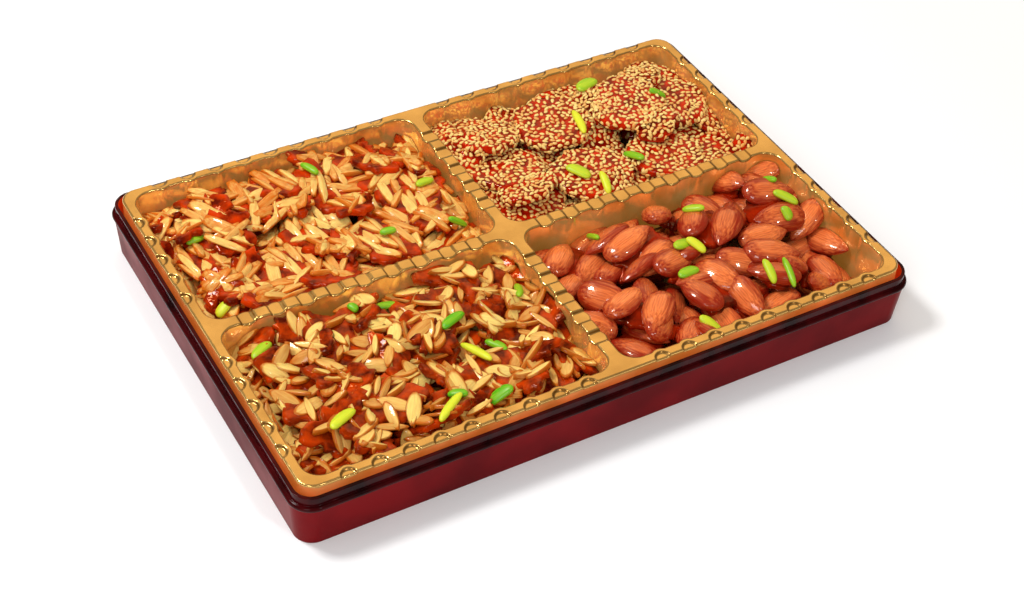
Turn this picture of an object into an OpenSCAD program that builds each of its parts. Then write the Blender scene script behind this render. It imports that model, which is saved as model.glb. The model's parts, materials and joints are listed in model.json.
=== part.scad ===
// Box of honey brittle: a tray of translucent red plastic holds a gold insert with four
// pockets, and each pocket holds one kind of brittle, laid in loose layers.
// Millimetres. The origin is at the centre of the box's underside, +X runs along the
// long side, +Y towards the back and +Z up.

/* [Box] */
// Length of the box over its ledge
box_l = 280; // [250:1:320]
// Width of the box over its ledge
box_w = 192; // [180:1:220]
// Height of the box up to its rim
box_h = 24.8; // [23:0.2:32]
// Height of the ledge's underside
ledge_z = 18.6; // [12:0.2:20]
// Height of the rounded ledge
ledge_h = 2.4; // [1.8:0.1:3]
// How far the ledge stands out from the wall
ledge_out = 0.8; // [0.4:0.1:1.2]
// How far the foot of the wall is drawn in
wall_draft = 1.4; // [0.4:0.1:2]
// How far the rim is set in from the ledge
rim_inset = 1.6; // [1:0.1:2.4]
// Thickness of the box wall and rim
wall_t = 1.5; // [1:0.1:2]
// Thickness of the box floor
floor_t = 1.8; // [1.2:0.1:3]
// Radius of the box corners at the ledge
box_corner_r = 10; // [9:0.5:16]

/* [Gold insert] */
// Gap between the box rim and the insert's lip
tray_gap = 1.4; // [0.8:0.1:2.5]
// How far the insert stands above the box rim
tray_proud = 3.1; // [1:0.1:5]
// Thickness of the formed sheet
sheet_t = 0.6; // [0.4:0.1:1]
// Height of the lip that turns down outside
lip_h = 8; // [4:0.5:12]
// Width of the flat edge around the pockets
flange_w = 4.4; // [4:0.1:6]
// Width of the dividers between pockets
divider_w = 6; // [5:0.1:8]
// Radius of the pocket corners
pocket_r = 7; // [4:0.5:10]
// Spacing of the notches along every edge
notch_pitch = 12.6; // [10:0.2:18]
// Radius of the round notches
notch_r = 3.1; // [2:0.1:3.6]
// Depth of the notches
notch_h = 1.6; // [0.8:0.1:2.4]
// Radius of the upright flutes in the pocket walls
flute_r = 4.6; // [3:0.1:6]
// How far the flutes stand into a pocket
flute_out = 0.9; // [0.5:0.1:1.4]

/* [Sesame discs] */
// Diameter of a sesame disc
disc_d = 33.6; // [28:0.2:36]
// Thickness of a sesame disc
disc_t = 4.8; // [4:0.1:6]
// Chamfer around a disc
disc_edge = 1.6; // [0.8:0.1:1.9]

/* [Slivered and flaked pieces] */
// Size of a piece across its longest corner
slab_d = 34; // [30:0.2:36]
// Thickness of the caramel
slab_t = 3.8; // [3.2:0.1:5]
// Chamfer around the caramel
slab_edge = 1.3; // [0.6:0.1:1.5]
// How far nuts stand out of the caramel
nut_rise = 0.6; // [0.4:0.1:1]
// Length of an almond sliver
sliver_l = 15; // [12:0.5:18]
// Width of an almond sliver
sliver_w = 2.6; // [2:0.1:3.4]
// Length of an almond flake
flake_l = 12; // [9:0.5:15]
// Width of an almond flake
flake_w = 6.5; // [5:0.1:8]

/* [Whole almond pieces] */
// Length of an almond
almond_l = 24; // [20:0.5:27]
// Width of an almond
almond_w = 13.5; // [11:0.1:15]
// Thickness of an almond
almond_h = 7.2; // [6:0.2:9]
// Thickness of the caramel under the almonds
base_t = 2.6; // [2.4:0.1:4]
// Chamfer around that caramel
base_edge = 1.1; // [0.6:0.1:1.2]
// Width of caramel that shows around the almonds
base_rim = 1.6; // [1:0.1:3]

/* [Pistachio slivers] */
// Length of a pistachio sliver
pistachio_l = 9; // [6:0.5:12]
// Width of a pistachio sliver
pistachio_w = 3.4; // [2.4:0.1:4.4]

/* [Hidden] */
$fn = 48;

// Clearance between pieces that lie on each other
seat_gap = 0.3;
// Clearance between a piece and the pocket's flutes
side_gap = 0.4;
// How far cuts run past a face
overrun = 1;
// Steepest lean that a piece takes by itself
lean_limit = 16;

foot_in = ledge_out + wall_draft;
ledge_r = ledge_h / 2;
tray_in = rim_inset + wall_t + tray_gap;
tray_l = box_l - 2 * tray_in;
tray_w = box_w - 2 * tray_in;
tray_r = box_corner_r - rim_inset - wall_t;
tray_top = box_h + tray_proud;
pocket_floor = floor_t + seat_gap + sheet_t;
pocket_l = (tray_l - divider_w) / 2 - flange_w;
pocket_w = (tray_w - divider_w) / 2 - flange_w;
pocket_x = (pocket_l + divider_w) / 2;
pocket_y = (pocket_w + divider_w) / 2;
// Half of the space that pieces have between the flutes
free_x = pocket_l / 2 - flute_out - side_gap;
free_y = pocket_w / 2 - flute_out - side_gap;

// Colours
ruby = "#6d1216";
gold = "#d3a14a";
caramel = "#a8401a";
almond_tan = "#d98a4a";
sesame_tan = "#e0b070";
pistachio_green = "#8fbf2f";

// The outer box

// Sweeps a section round a rectangle with round corners. The section is drawn from the
// middle of a corner outwards, so its outer edge stands at the corner's radius.
module swept_round(l, w, r) {
    for (side = [0 : 3])
        rotate(90 * side) {
            across = side % 2 == 0 ? l : w;
            along = side % 2 == 0 ? w : l;
            translate([across / 2 - r, 0, 0])
                rotate([90, 0, 0])
                    linear_extrude(along - 2 * r, center = true) children();
            translate([across / 2 - r, along / 2 - r, 0])
                rotate_extrude(angle = 90) children();
        }
}

module round_rectangle(l, w, r) {
    hull_l = l - 2 * r;
    hull_w = w - 2 * r;
    square([l, hull_w], center = true);
    square([hull_l, w], center = true);
    for (x = [-1, 1], y = [-1, 1])
        translate([x * hull_l / 2, y * hull_w / 2]) circle(r);
}

module wall_section() {
    r = box_corner_r;
    foot_r = r - foot_in;
    wall_r = r - ledge_out;
    rim_r = r - rim_inset;
    polygon([
        [foot_r - wall_t, 0],
        [foot_r, 0],
        [wall_r, ledge_z],
        [wall_r, ledge_z + ledge_h],
        [rim_r, ledge_z + ledge_h],
        [rim_r, box_h],
        [rim_r - wall_t, box_h],
        [rim_r - wall_t, ledge_z],
        [foot_r - wall_t, floor_t],
    ]);
    translate([r - ledge_r, ledge_z + ledge_r]) circle(ledge_r);
}

module outer_box() {
    color(ruby) {
        swept_round(box_l, box_w, box_corner_r) wall_section();
        linear_extrude(floor_t)
            round_rectangle(
                box_l - 2 * (foot_in + wall_t / 2),
                box_w - 2 * (foot_in + wall_t / 2),
                box_corner_r - foot_in - wall_t / 2
            );
    }
}

// The gold insert

function notch_places(l) =
    let (count = floor((l - 2 * pocket_r) / notch_pitch))
    [for (n = [0 : count - 1]) (n - (count - 1) / 2) * notch_pitch];

// A pocket's outline, drawn larger by grow: the flutes are cut out of it at every notch.
module pocket_outline(grow) {
    out = flute_r - flute_out + grow;
    difference() {
        round_rectangle(pocket_l + 2 * grow, pocket_w + 2 * grow, pocket_r + grow);
        for (x = notch_places(pocket_l), side = [-1, 1])
            translate([x, side * (pocket_w / 2 + out)]) circle(flute_r);
        for (y = notch_places(pocket_w), side = [-1, 1])
            translate([side * (pocket_l / 2 + out), y]) circle(flute_r);
    }
}

module each_pocket() {
    for (x = [-1, 1], y = [-1, 1]) translate([x * pocket_x, y * pocket_y]) children();
}

module pockets(grow, from, to) {
    translate([0, 0, from])
        linear_extrude(to - from)
            each_pocket() pocket_outline(grow);
}

// The notches: half rounds in the outer edge and slots across the dividers.
module notches(grow) {
    drop = tray_top - notch_h - grow;
    rise = notch_h + grow + overrun;
    r = notch_r + grow;
    for (side = [-1, 1], half = [-1, 1]) {
        for (x = notch_places(pocket_l))
            translate([half * pocket_x + x, side * (tray_w / 2), drop]) cylinder(rise, r = r);
        for (y = notch_places(pocket_w))
            translate([side * (tray_l / 2), half * pocket_y + y, drop]) cylinder(rise, r = r);
    }
    for (half = [-1, 1]) {
        for (x = notch_places(pocket_l))
            translate([half * pocket_x + x, 0, drop + rise / 2])
                cube([2 * r, divider_w + 2 * flute_out, rise], center = true);
        for (y = notch_places(pocket_w))
            translate([0, half * pocket_y + y, drop + rise / 2])
                cube([divider_w + 2 * flute_out, 2 * r, rise], center = true);
    }
}

module tray_block(inset, from, to) {
    translate([0, 0, from])
        linear_extrude(to - from)
            round_rectangle(tray_l - 2 * inset, tray_w - 2 * inset, tray_r - inset);
}

module gold_insert() {
    color(gold)
        difference() {
            union() {
                tray_block(0, tray_top - lip_h, tray_top);
                pockets(sheet_t, pocket_floor - sheet_t, tray_top);
            }
            pockets(0, pocket_floor, tray_top + overrun);
            notches(0);
            difference() {
                tray_block(sheet_t, tray_top - lip_h - overrun, tray_top - sheet_t);
                pockets(sheet_t, pocket_floor - sheet_t - overrun, tray_top);
                notches(sheet_t);
            }
        }
}

// Where the brittle lies

// Each row is one piece: x and y as shares of the way from the pocket's middle to its
// walls, turn in degrees and size as a share of the usual one. An almond piece then has
// its count of almonds. Two more angles, where given, are a piece's own lean and the
// direction in which it rises. The last three rows are pieces that nothing lies on.
slivered_shares = [
    [-0.95, -1, -30, 1, 1, 8, 220], [0, -1, 35, 1, 1, 5, 270], [0.93, -1, 85, 1, 1, 9, 300],
    [-0.96, 1, 75, 1, 1, 9, 120], [0.05, 1, -20, 1, 1, 8, 80], [1, 0.97, -70, 1, 1, 9, 40],
    [-1, 0.02, 45, 1], [-0.5, -0.88, -80, 1], [0, 0, 20, 1], [1, 0.02, 65, 1],
    [-0.5, 0.8, -60, 1], [0.5, 0.95, 80, 1], [0.5, -0.8, 15, 1],
];
sesame_shares = [
    [-0.96, -0.95, 0, 1], [0.12, -1, 0, 1], [1, -0.95, 0, 1],
    [0.15, 1, 0, 1.05, 1, 6, 90], [1, 1, 0, 0.95, 1, 8, 60],
    [-0.96, 0, 0, 1], [-0.93, 1, 0, 1], [0.55, -0.95, 0, 1], [1, 0.2, 0, 0.95],
    [-0.25, -0.86, 0, 1], [-0.22, 0.64, 0, 1.05], [0.55, 0.4, 0, 1],
];
flaked_shares = [
    [-0.98, -1, -30, 1, 1, 7, 240], [-0.05, -1, -20, 1, 1, 6, 280],
    [0.94, -0.95, 75, 1, 1, 9, 320], [-0.9, 1, 15, 1, 1, 9, 130],
    [0, 1, -30, 1, 1, 8, 100], [1, 0.95, 70, 1, 1, 11, 60],
    [-0.95, 0, 25, 1], [0.03, 0.1, 0, 1], [0.98, -0.02, -50, 1], [-0.46, 0.8, 70, 1],
    [-0.5, -0.75, 205, 1], [0.5, -0.85, 10, 1], [0.5, 0.75, -25, 1],
];
almond_shares = [
    [-0.97, -1, -60, 1, 2, 7, 220], [-0.33, -1, 85, 1, 2], [0.33, -1, 5, 1, 2, 6, 270],
    [0.97, -0.9, 75, 1, 1],
    [-0.97, 1, 40, 1, 2, 8, 130], [-0.33, 1, 25, 1, 2, 9, 90], [0.33, 1, 115, 1, 2, 7, 70],
    [1, 1, -50, 1, 2, 9, 45],
    [-0.97, 0, 20, 1, 1], [0.02, 0, -10, 1, 1],
    [-0.85, -0.6, 35, 1, 2], [-0.15, -0.6, -65, 1, 2], [0.97, 0.6, -15, 1, 2],
    [-0.42, 0.6, 22, 1, 2], [0.28, 0.6, 57, 1, 2], [0.5, -0.68, -35, 1, 2, 4, 160],
];

// The pieces underneath lie flat, side by side, in one layer or two.
lower_size_share = 1.08;
function lower_rows(kind) =
    kind == "almond"
    ? [
        for (y = [-1, 1], x = [-1 : 2 / 3 : 1]) [x, y, 90 * x, 1, 2],
        for (x = [-1 : 2 / 3 : 1]) [x, 0, 0, 1, 1]
    ]
    : [
        for (level = [0, 1], y = [-1, 1], x = [-1 : 1])
            [x, y, 60 * x + 150 * level, lower_size_share, 1]
    ];

KINDS = ["slivered", "sesame", "flaked", "almond"];

// How many points around a piece show what it lies on, and how far out they are
probes = 12;
probe_share = 0.95;
// The leans that a piece tries, as shares of the slope found
lean_shares = [0, 1, 2, 3, 4.5];
// How much the height of its rising edge counts beside that of its middle
edge_share = 0.3;
// How far an almond is sunk in its caramel
sink_share = 0.3;
// How rough the caramel's outline is under almonds, as a share of that of a slab
almond_rough_share = 0.33;
// How an almond rounds off: how far below its crest as a share of its height, and how far
// in from the caramel's outline as a share of its width
bulge_shares = [[0, 0.5], [0.06, 0.29], [0.25, 0.18], [0.5, 0.1]];

function shown_rows(kind) =
    kind == "slivered" ? slivered_shares
    : kind == "sesame" ? sesame_shares
    : kind == "flaked" ? flaked_shares
    : almond_shares;
function rows_of(kind) = concat(lower_rows(kind), shown_rows(kind));
function shown(kind) = [1 : len(shown_rows(kind))];
function layer_name(kind) = str(kind, "_lower_layer");
function piece_name(kind, n) = str(kind, "_piece_", n);
function pocket_middle(kind) = [
    (kind == "slivered" || kind == "flaked" ? -1 : 1) * pocket_x,
    (kind == "slivered" || kind == "sesame" ? 1 : -1) * pocket_y,
    0,
];

// A piece's body is its radius at the nose, its thickness, its width over its length, the
// seed of its outline and how rough that is. Then come its levels, each a height and how
// far the outline is drawn in there: those of its underside and those of its top.
function wafer_body(r, t, edge, seed, rough_share) = [
    r, t, 1, seed, rough_share,
    [[0, edge], [edge, 0], [t - edge, 0]],
    [[t, edge], [t - edge, 0], [edge, 0]],
];
function almond_body(row, seed) =
    let (
        r = (row[4] > 1 ? almond_w : almond_l / 2) + base_rim,
        t = base_t + almond_h * (1 - sink_share),
        slim = row[4] > 1 ? 1 : (almond_w / 2 + base_rim) / r,
        tops = [for (share = bulge_shares)
            [t - share[0] * almond_h, share[1] * almond_w * slim]]
    )
    [
        r, t, slim, seed, almond_rough_share,
        [[0, base_edge], [base_edge, 0], [base_t, 0], tops[2]],
        concat(tops, [[base_t, 0]]),
    ];
function body_of(kind, row, seed) =
    kind == "sesame" ? wafer_body(disc_d / 2 * row[3], disc_t, disc_edge, seed, 0)
    : kind == "almond" ? almond_body(row, seed)
    : wafer_body(slab_d / 2 * row[3], slab_t + nut_rise, slab_edge, seed, 1);

corners = 12;
corner_shares = [0.88, 0.82, 0.91, 0.86, 0.8, 0.9, 0.84];
function corner_share(body, k) =
    k % corners == 0
    ? 1
    : 1 - body[4] * (1 - corner_shares[(2 * k + 3 * body[3]) % len(corner_shares)]);

// How far the outline reaches at an angle from the nose
function reach(body, angle) =
    let (
        place = ((angle % 360 + 360) % 360) * corners / 360,
        k = floor(place),
        part = place - k,
        share = corner_share(body, k) * (1 - part) + corner_share(body, k + 1) * part
    )
    body[0] * share * body[2] / norm([body[2] * cos(angle), sin(angle)]);

// A laid piece is its middle in plan, the height of its middle, the slope of its plane
// along X and Y, its turn and its body.
function steep(slope) = sqrt(1 + slope * slope);
function onto_plan(slope, a) = a - slope * (slope * a) / (steep(slope) * (steep(slope) + 1));
function onto_piece(slope, a) = a + slope * (slope * a) / (steep(slope) + 1);
// A level of a laid piece: its middle in plan, the height there, and its inset
function plate(piece, level) =
    let (h = (level[0] - piece[4][1] / 2) / steep(piece[2]))
    [piece[0] - piece[2] * h, piece[1] + h, level[1]];
function height_on(piece, plate, at) = plate[1] + piece[2] * (at - plate[0]);
function covers(piece, plate, at) =
    let (a = onto_piece(piece[2], at - plate[0]))
    norm(a) < reach(piece[4], atan2(a.y, a.x) - piece[3]) - plate[2];
function edge_point(piece, plate, angle) =
    let (r = reach(piece[4], angle - piece[3]) - plate[2])
    plate[0] + onto_plan(piece[2], r * [cos(angle), sin(angle)]);

function bed_at(at) =
    abs(at.x) < pocket_l / 2 && abs(at.y) < pocket_w / 2 ? pocket_floor : tray_top;
function ground_at(laid, at) =
    max([
        bed_at(at),
        for (piece = laid)
            if (norm(at - piece[0]) < piece[4][0])
                for (level = piece[4][6])
                    let (top = plate(piece, level))
                    if (covers(piece, top, at)) height_on(piece, top, at)
    ]);

// The slope of the ground that a piece finds around it
function slope_at(laid, middle, body) =
    let (
        far = probe_share * body[0],
        found = [for (k = [0 : probes - 1])
            let (way = [cos(360 / probes * k), sin(360 / probes * k)])
            way * ground_at(laid, middle + far * way)]
    )
    sum(found) * 2 / (probes * far);
function sum(list) = [for (k = [1 : len(list)]) 1] * list;
function up_to(slope, most) = norm(slope) > most ? slope * most / norm(slope) : slope;

sides = [for (k = [0 : 17]) k * 20];

// The least height at which a piece clears the bed and every piece laid before it
function rest_height(laid, me) =
    let (unders = [for (level = me[4][5]) plate(me, level)])
    seat_gap + max([
        for (mine = unders, angle = sides)
            let (at = edge_point(me, mine, angle)) bed_at(at) - height_on(me, mine, at),
        for (other = laid)
            if (norm(other[0] - me[0]) < other[4][0] + me[4][0])
                for (level = other[4][6], mine = unders)
                    let (top = plate(other, level))
                    each concat(
                        [for (angle = sides)
                            let (at = edge_point(me, mine, angle))
                            if (covers(other, top, at))
                                height_on(other, top, at) - height_on(me, mine, at)],
                        [for (angle = sides)
                            let (at = edge_point(other, top, angle))
                            if (covers(me, mine, at))
                                height_on(other, top, at) - height_on(me, mine, at)]
                    )
    ]);

// Of the leans that it tries, a piece takes the one in which it and its rising edge lie
// lowest.
function lay(kind, row, seed, laid) =
    let (
        body = body_of(kind, row, seed),
        middle = [row[0] * (free_x - body[0]), row[1] * (free_y - body[0])],
        found = slope_at(laid, middle, body),
        slopes = row[5] == undef
            ? [for (share = lean_shares) up_to(share * found, tan(lean_limit))]
            : [tan(row[5]) * [cos(row[6]), sin(row[6])]],
        heights = [for (slope = slopes) rest_height(laid, [middle, 0, slope, row[2], body])],
        edges = [for (k = [0 : len(slopes) - 1])
            heights[k] + edge_share * body[0] * norm(slopes[k])],
        lowest = search(min(edges), edges)[0]
    )
    [middle, heights[lowest], slopes[lowest], row[2], body];

function settle(kind, count, laid = []) =
    len(laid) == count
    ? laid
    : settle(
        kind, count,
        concat(laid, [lay(kind, rows_of(kind)[len(laid)], len(laid) + 1, laid)])
    );

// The shapes of the brittle, each drawn with its underside at height zero

module wafer(body, t, edge) {
    points = [for (k = [0 : corners - 1])
        let (angle = k * 360 / corners) [cos(angle), sin(angle)] * reach(body, angle)];
    inner = [for (k = [0 : corners - 1])
        let (angle = k * 360 / corners) [cos(angle), sin(angle)] * (reach(body, angle) - edge)];
    hull() {
        translate([0, 0, edge]) linear_extrude(t - 2 * edge) polygon(points);
        linear_extrude(t) polygon(inner);
    }
}

module disc(body) {
    r = body[0];
    rotate_extrude()
        polygon([
            [0, 0],
            [r - disc_edge, 0],
            [r, disc_edge],
            [r, disc_t - disc_edge],
            [r - disc_edge, disc_t],
            [0, disc_t],
        ]);
}

nut_t = 2 * nut_rise;
nuts = 7;
// How far out the nuts lie on a piece
spread_share = 0.4;
taper_share = 0.6;

module splinter(l, w, t) {
    hull() {
        cube([l, w * taper_share, t * taper_share], center = true);
        cube([l * (1 + taper_share) / 2, w, t], center = true);
    }
}

module flake() {
    small = flake_w * (1 - taper_share) / 2;
    hull() {
        translate([flake_w / 2 - flake_l / 2, 0, 0])
            cylinder(nut_t, r = flake_w / 2, center = true, $fn = 8);
        translate([flake_l / 2 - small, 0, 0])
            cylinder(nut_t, r = small, center = true, $fn = 6);
    }
}

// Nuts spiral out from the middle of a piece, and lie roughly one way.
module nuts_on(body, seed) {
    for (n = [0 : nuts - 1]) {
        far = body[0] * spread_share * sqrt((n + 0.5) / nuts);
        way = 137.5 * n + 53 * seed;
        rotate(way)
            translate([far, 0, slab_t + nut_rise - nut_t / 2])
                rotate(20 * sin(97 * n + 31 * seed) - way)
                    children();
    }
}

module pistachio() {
    splinter(pistachio_l, pistachio_w, nut_t);
}

module slab_piece(kind, body) {
    seed = body[3];
    wafer(body, slab_t, slab_edge);
    nuts_on(body, seed) if (kind == "flaked") flake(); else splinter(sliver_l, sliver_w, nut_t);
    rotate(90 * seed)
        translate([body[0] * spread_share, 0, slab_t + nut_rise - nut_t / 2])
            rotate(35 * seed) pistachio();
}

belly_shares = [0.38, 0.5, 0.5];
tip_shares = [0.2, 0.24, 0.28];
belly_place_share = 0.12;
tip_place_share = 0.3;

module almond(sides) {
    size = [almond_l, almond_w, almond_h];
    hull() {
        translate([-almond_l * belly_place_share, 0, 0])
            scale([for (k = [0 : 2]) size[k] * belly_shares[k]]) sphere(1, $fn = sides);
        translate([almond_l * tip_place_share, 0, 0])
            scale([for (k = [0 : 2]) size[k] * tip_shares[k]]) sphere(1, $fn = sides - 2);
    }
}

drips = 5;
drip_shares = [0.75, 0.45];

module almond_piece(body, count, plain) {
    seed = body[3];
    middle_z = base_t + almond_h * (0.5 - sink_share);
    wafer(body, base_t, base_edge);
    for (n = [1 : count])
        translate([0, (n - (count + 1) / 2) * almond_w, middle_z])
            rotate(180 * (n % 2)) almond(plain ? 8 : 10);
    if (!plain) {
        for (n = [0 : drips - 1])
            rotate(n * 360 / drips + 40 * seed)
                hull() {
                    translate([body[0] * body[2] * drip_shares[0], 0, base_t])
                        sphere(base_edge, $fn = 6);
                    translate([body[0] * body[2] * drip_shares[1], 0, middle_z])
                        sphere(base_edge, $fn = 6);
                }
        translate([0, 0, base_t + almond_h * (1 - sink_share) - nut_t])
            rotate(60 * seed) pistachio();
    }
}

module piece_shape(kind, row, body, plain = false) {
    if (kind == "sesame")
        color(sesame_tan) disc(body);
    else if (kind == "almond")
        color(almond_tan) almond_piece(body, row[4], plain);
    else if (plain)
        color(caramel) wafer(body, body[1], slab_edge);
    else
        color(caramel) slab_piece(kind, body);
}

module put(piece) {
    slope = piece[2];
    translate([piece[0].x, piece[0].y, piece[1]])
        rotate(a = atan(norm(slope)), v = [slope.y, -slope.x, 0])
            rotate(piece[3])
                translate([0, 0, -piece[4][1] / 2])
                    children();
}

module lower_layer(kind) {
    rows = lower_rows(kind);
    laid = settle(kind, len(rows));
    translate(pocket_middle(kind))
        for (n = [0 : len(rows) - 1])
            put(laid[n]) piece_shape(kind, rows[n], laid[n][4], plain = true);
}

module shown_piece(kind, n) {
    index = len(lower_rows(kind)) + n - 1;
    piece = settle(kind, index + 1)[index];
    translate(pocket_middle(kind))
        put(piece) piece_shape(kind, rows_of(kind)[index], piece[4]);
}

outer_box();
gold_insert();
for (kind = KINDS) lower_layer(kind);
for (kind = KINDS, n = shown(kind))
    shown_piece(kind, n);
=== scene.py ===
"""Looks of a box of honey brittle: a ruby tray box, its gold insert and four kinds of brittle.

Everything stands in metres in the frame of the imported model. Nuts and sweets are drawn in
millimetres and brought to metres where they are set down.
"""

import json
import logging
import math
import random
from collections import defaultdict
from collections.abc import Iterable
from dataclasses import dataclass, field, replace
from enum import Enum

import bmesh
import bpy
from bmesh.types import BMEdge, BMesh, BMFace, BMVert
from bpy.types import ID, Material, Mesh, Node, NodeSocket, NodeTree, Object, World
from mathutils import Matrix, Vector, noise
from mathutils.bvhtree import BVHTree

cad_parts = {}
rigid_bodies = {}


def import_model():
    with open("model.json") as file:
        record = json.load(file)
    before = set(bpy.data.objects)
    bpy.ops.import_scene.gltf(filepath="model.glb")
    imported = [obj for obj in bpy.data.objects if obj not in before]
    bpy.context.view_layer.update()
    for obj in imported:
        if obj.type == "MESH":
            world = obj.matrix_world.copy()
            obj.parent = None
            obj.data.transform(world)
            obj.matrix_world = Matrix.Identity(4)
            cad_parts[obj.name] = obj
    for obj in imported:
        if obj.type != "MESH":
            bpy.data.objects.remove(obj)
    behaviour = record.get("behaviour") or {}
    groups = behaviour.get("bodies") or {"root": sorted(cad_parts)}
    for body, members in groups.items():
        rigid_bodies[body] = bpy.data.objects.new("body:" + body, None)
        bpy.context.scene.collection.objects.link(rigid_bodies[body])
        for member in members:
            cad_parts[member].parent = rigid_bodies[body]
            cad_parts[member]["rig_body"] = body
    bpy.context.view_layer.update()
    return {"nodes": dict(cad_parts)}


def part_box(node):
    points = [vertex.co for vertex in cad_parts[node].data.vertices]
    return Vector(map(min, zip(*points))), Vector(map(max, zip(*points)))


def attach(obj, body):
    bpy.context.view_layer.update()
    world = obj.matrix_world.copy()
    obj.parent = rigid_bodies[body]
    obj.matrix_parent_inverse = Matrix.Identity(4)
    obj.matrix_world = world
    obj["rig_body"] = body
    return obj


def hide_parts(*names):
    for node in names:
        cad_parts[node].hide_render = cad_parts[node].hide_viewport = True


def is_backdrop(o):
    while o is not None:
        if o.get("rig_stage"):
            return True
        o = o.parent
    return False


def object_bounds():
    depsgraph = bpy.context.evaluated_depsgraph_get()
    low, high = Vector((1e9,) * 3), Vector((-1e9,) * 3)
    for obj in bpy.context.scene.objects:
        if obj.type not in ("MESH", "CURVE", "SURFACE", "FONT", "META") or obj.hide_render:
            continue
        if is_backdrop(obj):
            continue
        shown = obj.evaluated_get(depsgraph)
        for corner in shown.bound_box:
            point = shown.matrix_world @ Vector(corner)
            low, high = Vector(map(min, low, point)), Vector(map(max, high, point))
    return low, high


LOG = logging.getLogger("brittle_box")
MM = 0.001
# Mesh attributes that the finishes read: a point's place on its nut, from -1 to 1 along
# each side, the nut's tint, and the distance to the nearest notch in millimetres.
OWN = "own"
TINT = "tint"
TO_NOTCH = "to_notch"
# Noise lies mostly between these values, which stretch it from 0 to 1.
PATCH_SPAN = {"From Min": 0.35, "From Max": 0.65}
GRAIN_SPAN = {"From Min": 0.4, "From Max": 0.62}


class Kind(Enum):
    """The four kinds of brittle, by the word that their nodes start with."""

    SLIVERED = "slivered"
    SESAME = "sesame"
    FLAKED = "flaked"
    ALMOND = "almond"


class Layer(Enum):
    """Whether a piece of brittle shows, lies under others, or is a shard in a gap."""

    SHOWN = "shown"
    LOWER = "lower"
    SHARD = "shard"


# Small helpers for materials


def linear(colour: str) -> tuple[float, float, float, float]:
    """Turns an sRGB hex colour into the linear one that shaders take.

    Args:
        colour: The colour as "#rrggbb".

    Returns:
        Red, green, blue and a full alpha.
    """
    shares = [int(colour[k : k + 2], 16) / 255 for k in (1, 3, 5)]
    red, green, blue = (
        c / 12.92 if c <= 0.04045 else ((c + 0.055) / 1.055) ** 2.4 for c in shares
    )
    return red, green, blue, 1.0


def per_metre(size_mm: float) -> float:
    """The scale of a texture in metres whose marks have a size in millimetres."""
    return 1 / (size_mm * MM)


def add_node(
    tree: NodeTree, kind: str, settings: dict | None = None, links: dict | None = None
) -> Node:
    """Adds one shader node with its settings and links.

    Args:
        tree: The material's or world's node tree.
        kind: The node's type, without "ShaderNode".
        settings: Values for its inputs, by name or number, and for its own properties.
        links: For an input's name or number, the socket that feeds it.

    Returns:
        The new node.
    """
    node = tree.nodes.new("ShaderNode" + kind)
    for name, value in (settings or {}).items():
        if isinstance(name, int) or name in node.inputs:
            node.inputs[name].default_value = value
        else:
            setattr(node, name, value)
    for name, socket in (links or {}).items():
        tree.links.new(socket, node.inputs[name])
    return node


def empty_tree(owner: Material | World) -> NodeTree:
    """Gives a material or a world a node tree with nothing in it."""
    owner.use_nodes = True
    owner.node_tree.nodes.clear()
    return owner.node_tree


# Finishes


@dataclass(frozen=True)
class Finish:
    """A surface whose colour, gloss and relief vary from place to place.

    Attributes:
        name: The material's name.
        pale: Its lighter colour.
        deep: Its darker colour.
        shine: Least and greatest roughness.
        mottle_mm: Size of the patches in which colour and gloss change.
        relief_mm: Depth of the relief.
        relief_grain_mm: Size of the marks in the relief.
        constants: Values that are the same all over, for the shader's own sockets.
    """

    name: str
    pale: str
    deep: str
    shine: tuple[float, float]
    mottle_mm: float
    relief_mm: float
    relief_grain_mm: float
    constants: dict = field(default_factory=dict)

    def share(self, tree: NodeTree, place: NodeSocket) -> NodeSocket:
        """Says how far the colour goes from pale to deep.

        Args:
            tree: The material's node tree.
            place: The piece's own coordinates, in metres.

        Returns:
            A socket from 0 for pale to 1 for deep.
        """
        patches = add_node(
            tree,
            "TexNoise",
            {"Scale": per_metre(self.mottle_mm), "Detail": 3.0},
            {"Vector": place},
        )
        return add_node(tree, "MapRange", PATCH_SPAN, {"Value": patches.outputs[0]}).outputs[0]

    def relief(self, tree: NodeTree, place: NodeSocket) -> NodeSocket:
        """Draws the relief that is too fine for the mesh.

        Args:
            tree: The material's node tree.
            place: The piece's own coordinates, in metres.

        Returns:
            A socket with heights from 0 to 1.
        """
        return add_node(
            tree,
            "TexNoise",
            {"Scale": per_metre(self.relief_grain_mm), "Detail": 2.0},
            {"Vector": place},
        ).outputs[0]

    def material(self) -> Material:
        """The finish as a material, which is made once and then shared."""
        known = bpy.data.materials.get(self.name)
        if known:
            return known
        material = bpy.data.materials.new(self.name)
        tree = empty_tree(material)
        place = add_node(tree, "TexCoord").outputs["Object"]
        share = self.share(tree, place)
        colour = add_node(
            tree,
            "Mix",
            {"data_type": "RGBA", 6: linear(self.pale), 7: linear(self.deep)},
            {0: share},
        )
        gloss = add_node(
            tree, "MapRange", {"To Min": self.shine[0], "To Max": self.shine[1]}, {"Value": share}
        )
        relief = add_node(
            tree,
            "Bump",
            {"Strength": 1.0, "Distance": self.relief_mm * MM},
            {"Height": self.relief(tree, place)},
        )
        shader = add_node(
            tree,
            "BsdfPrincipled",
            self.constants,
            {
                "Base Color": colour.outputs[2],
                "Roughness": gloss.outputs[0],
                "Normal": relief.outputs[0],
            },
        )
        add_node(tree, "OutputMaterial", links={"Surface": shader.outputs[0]})
        return material


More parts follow.
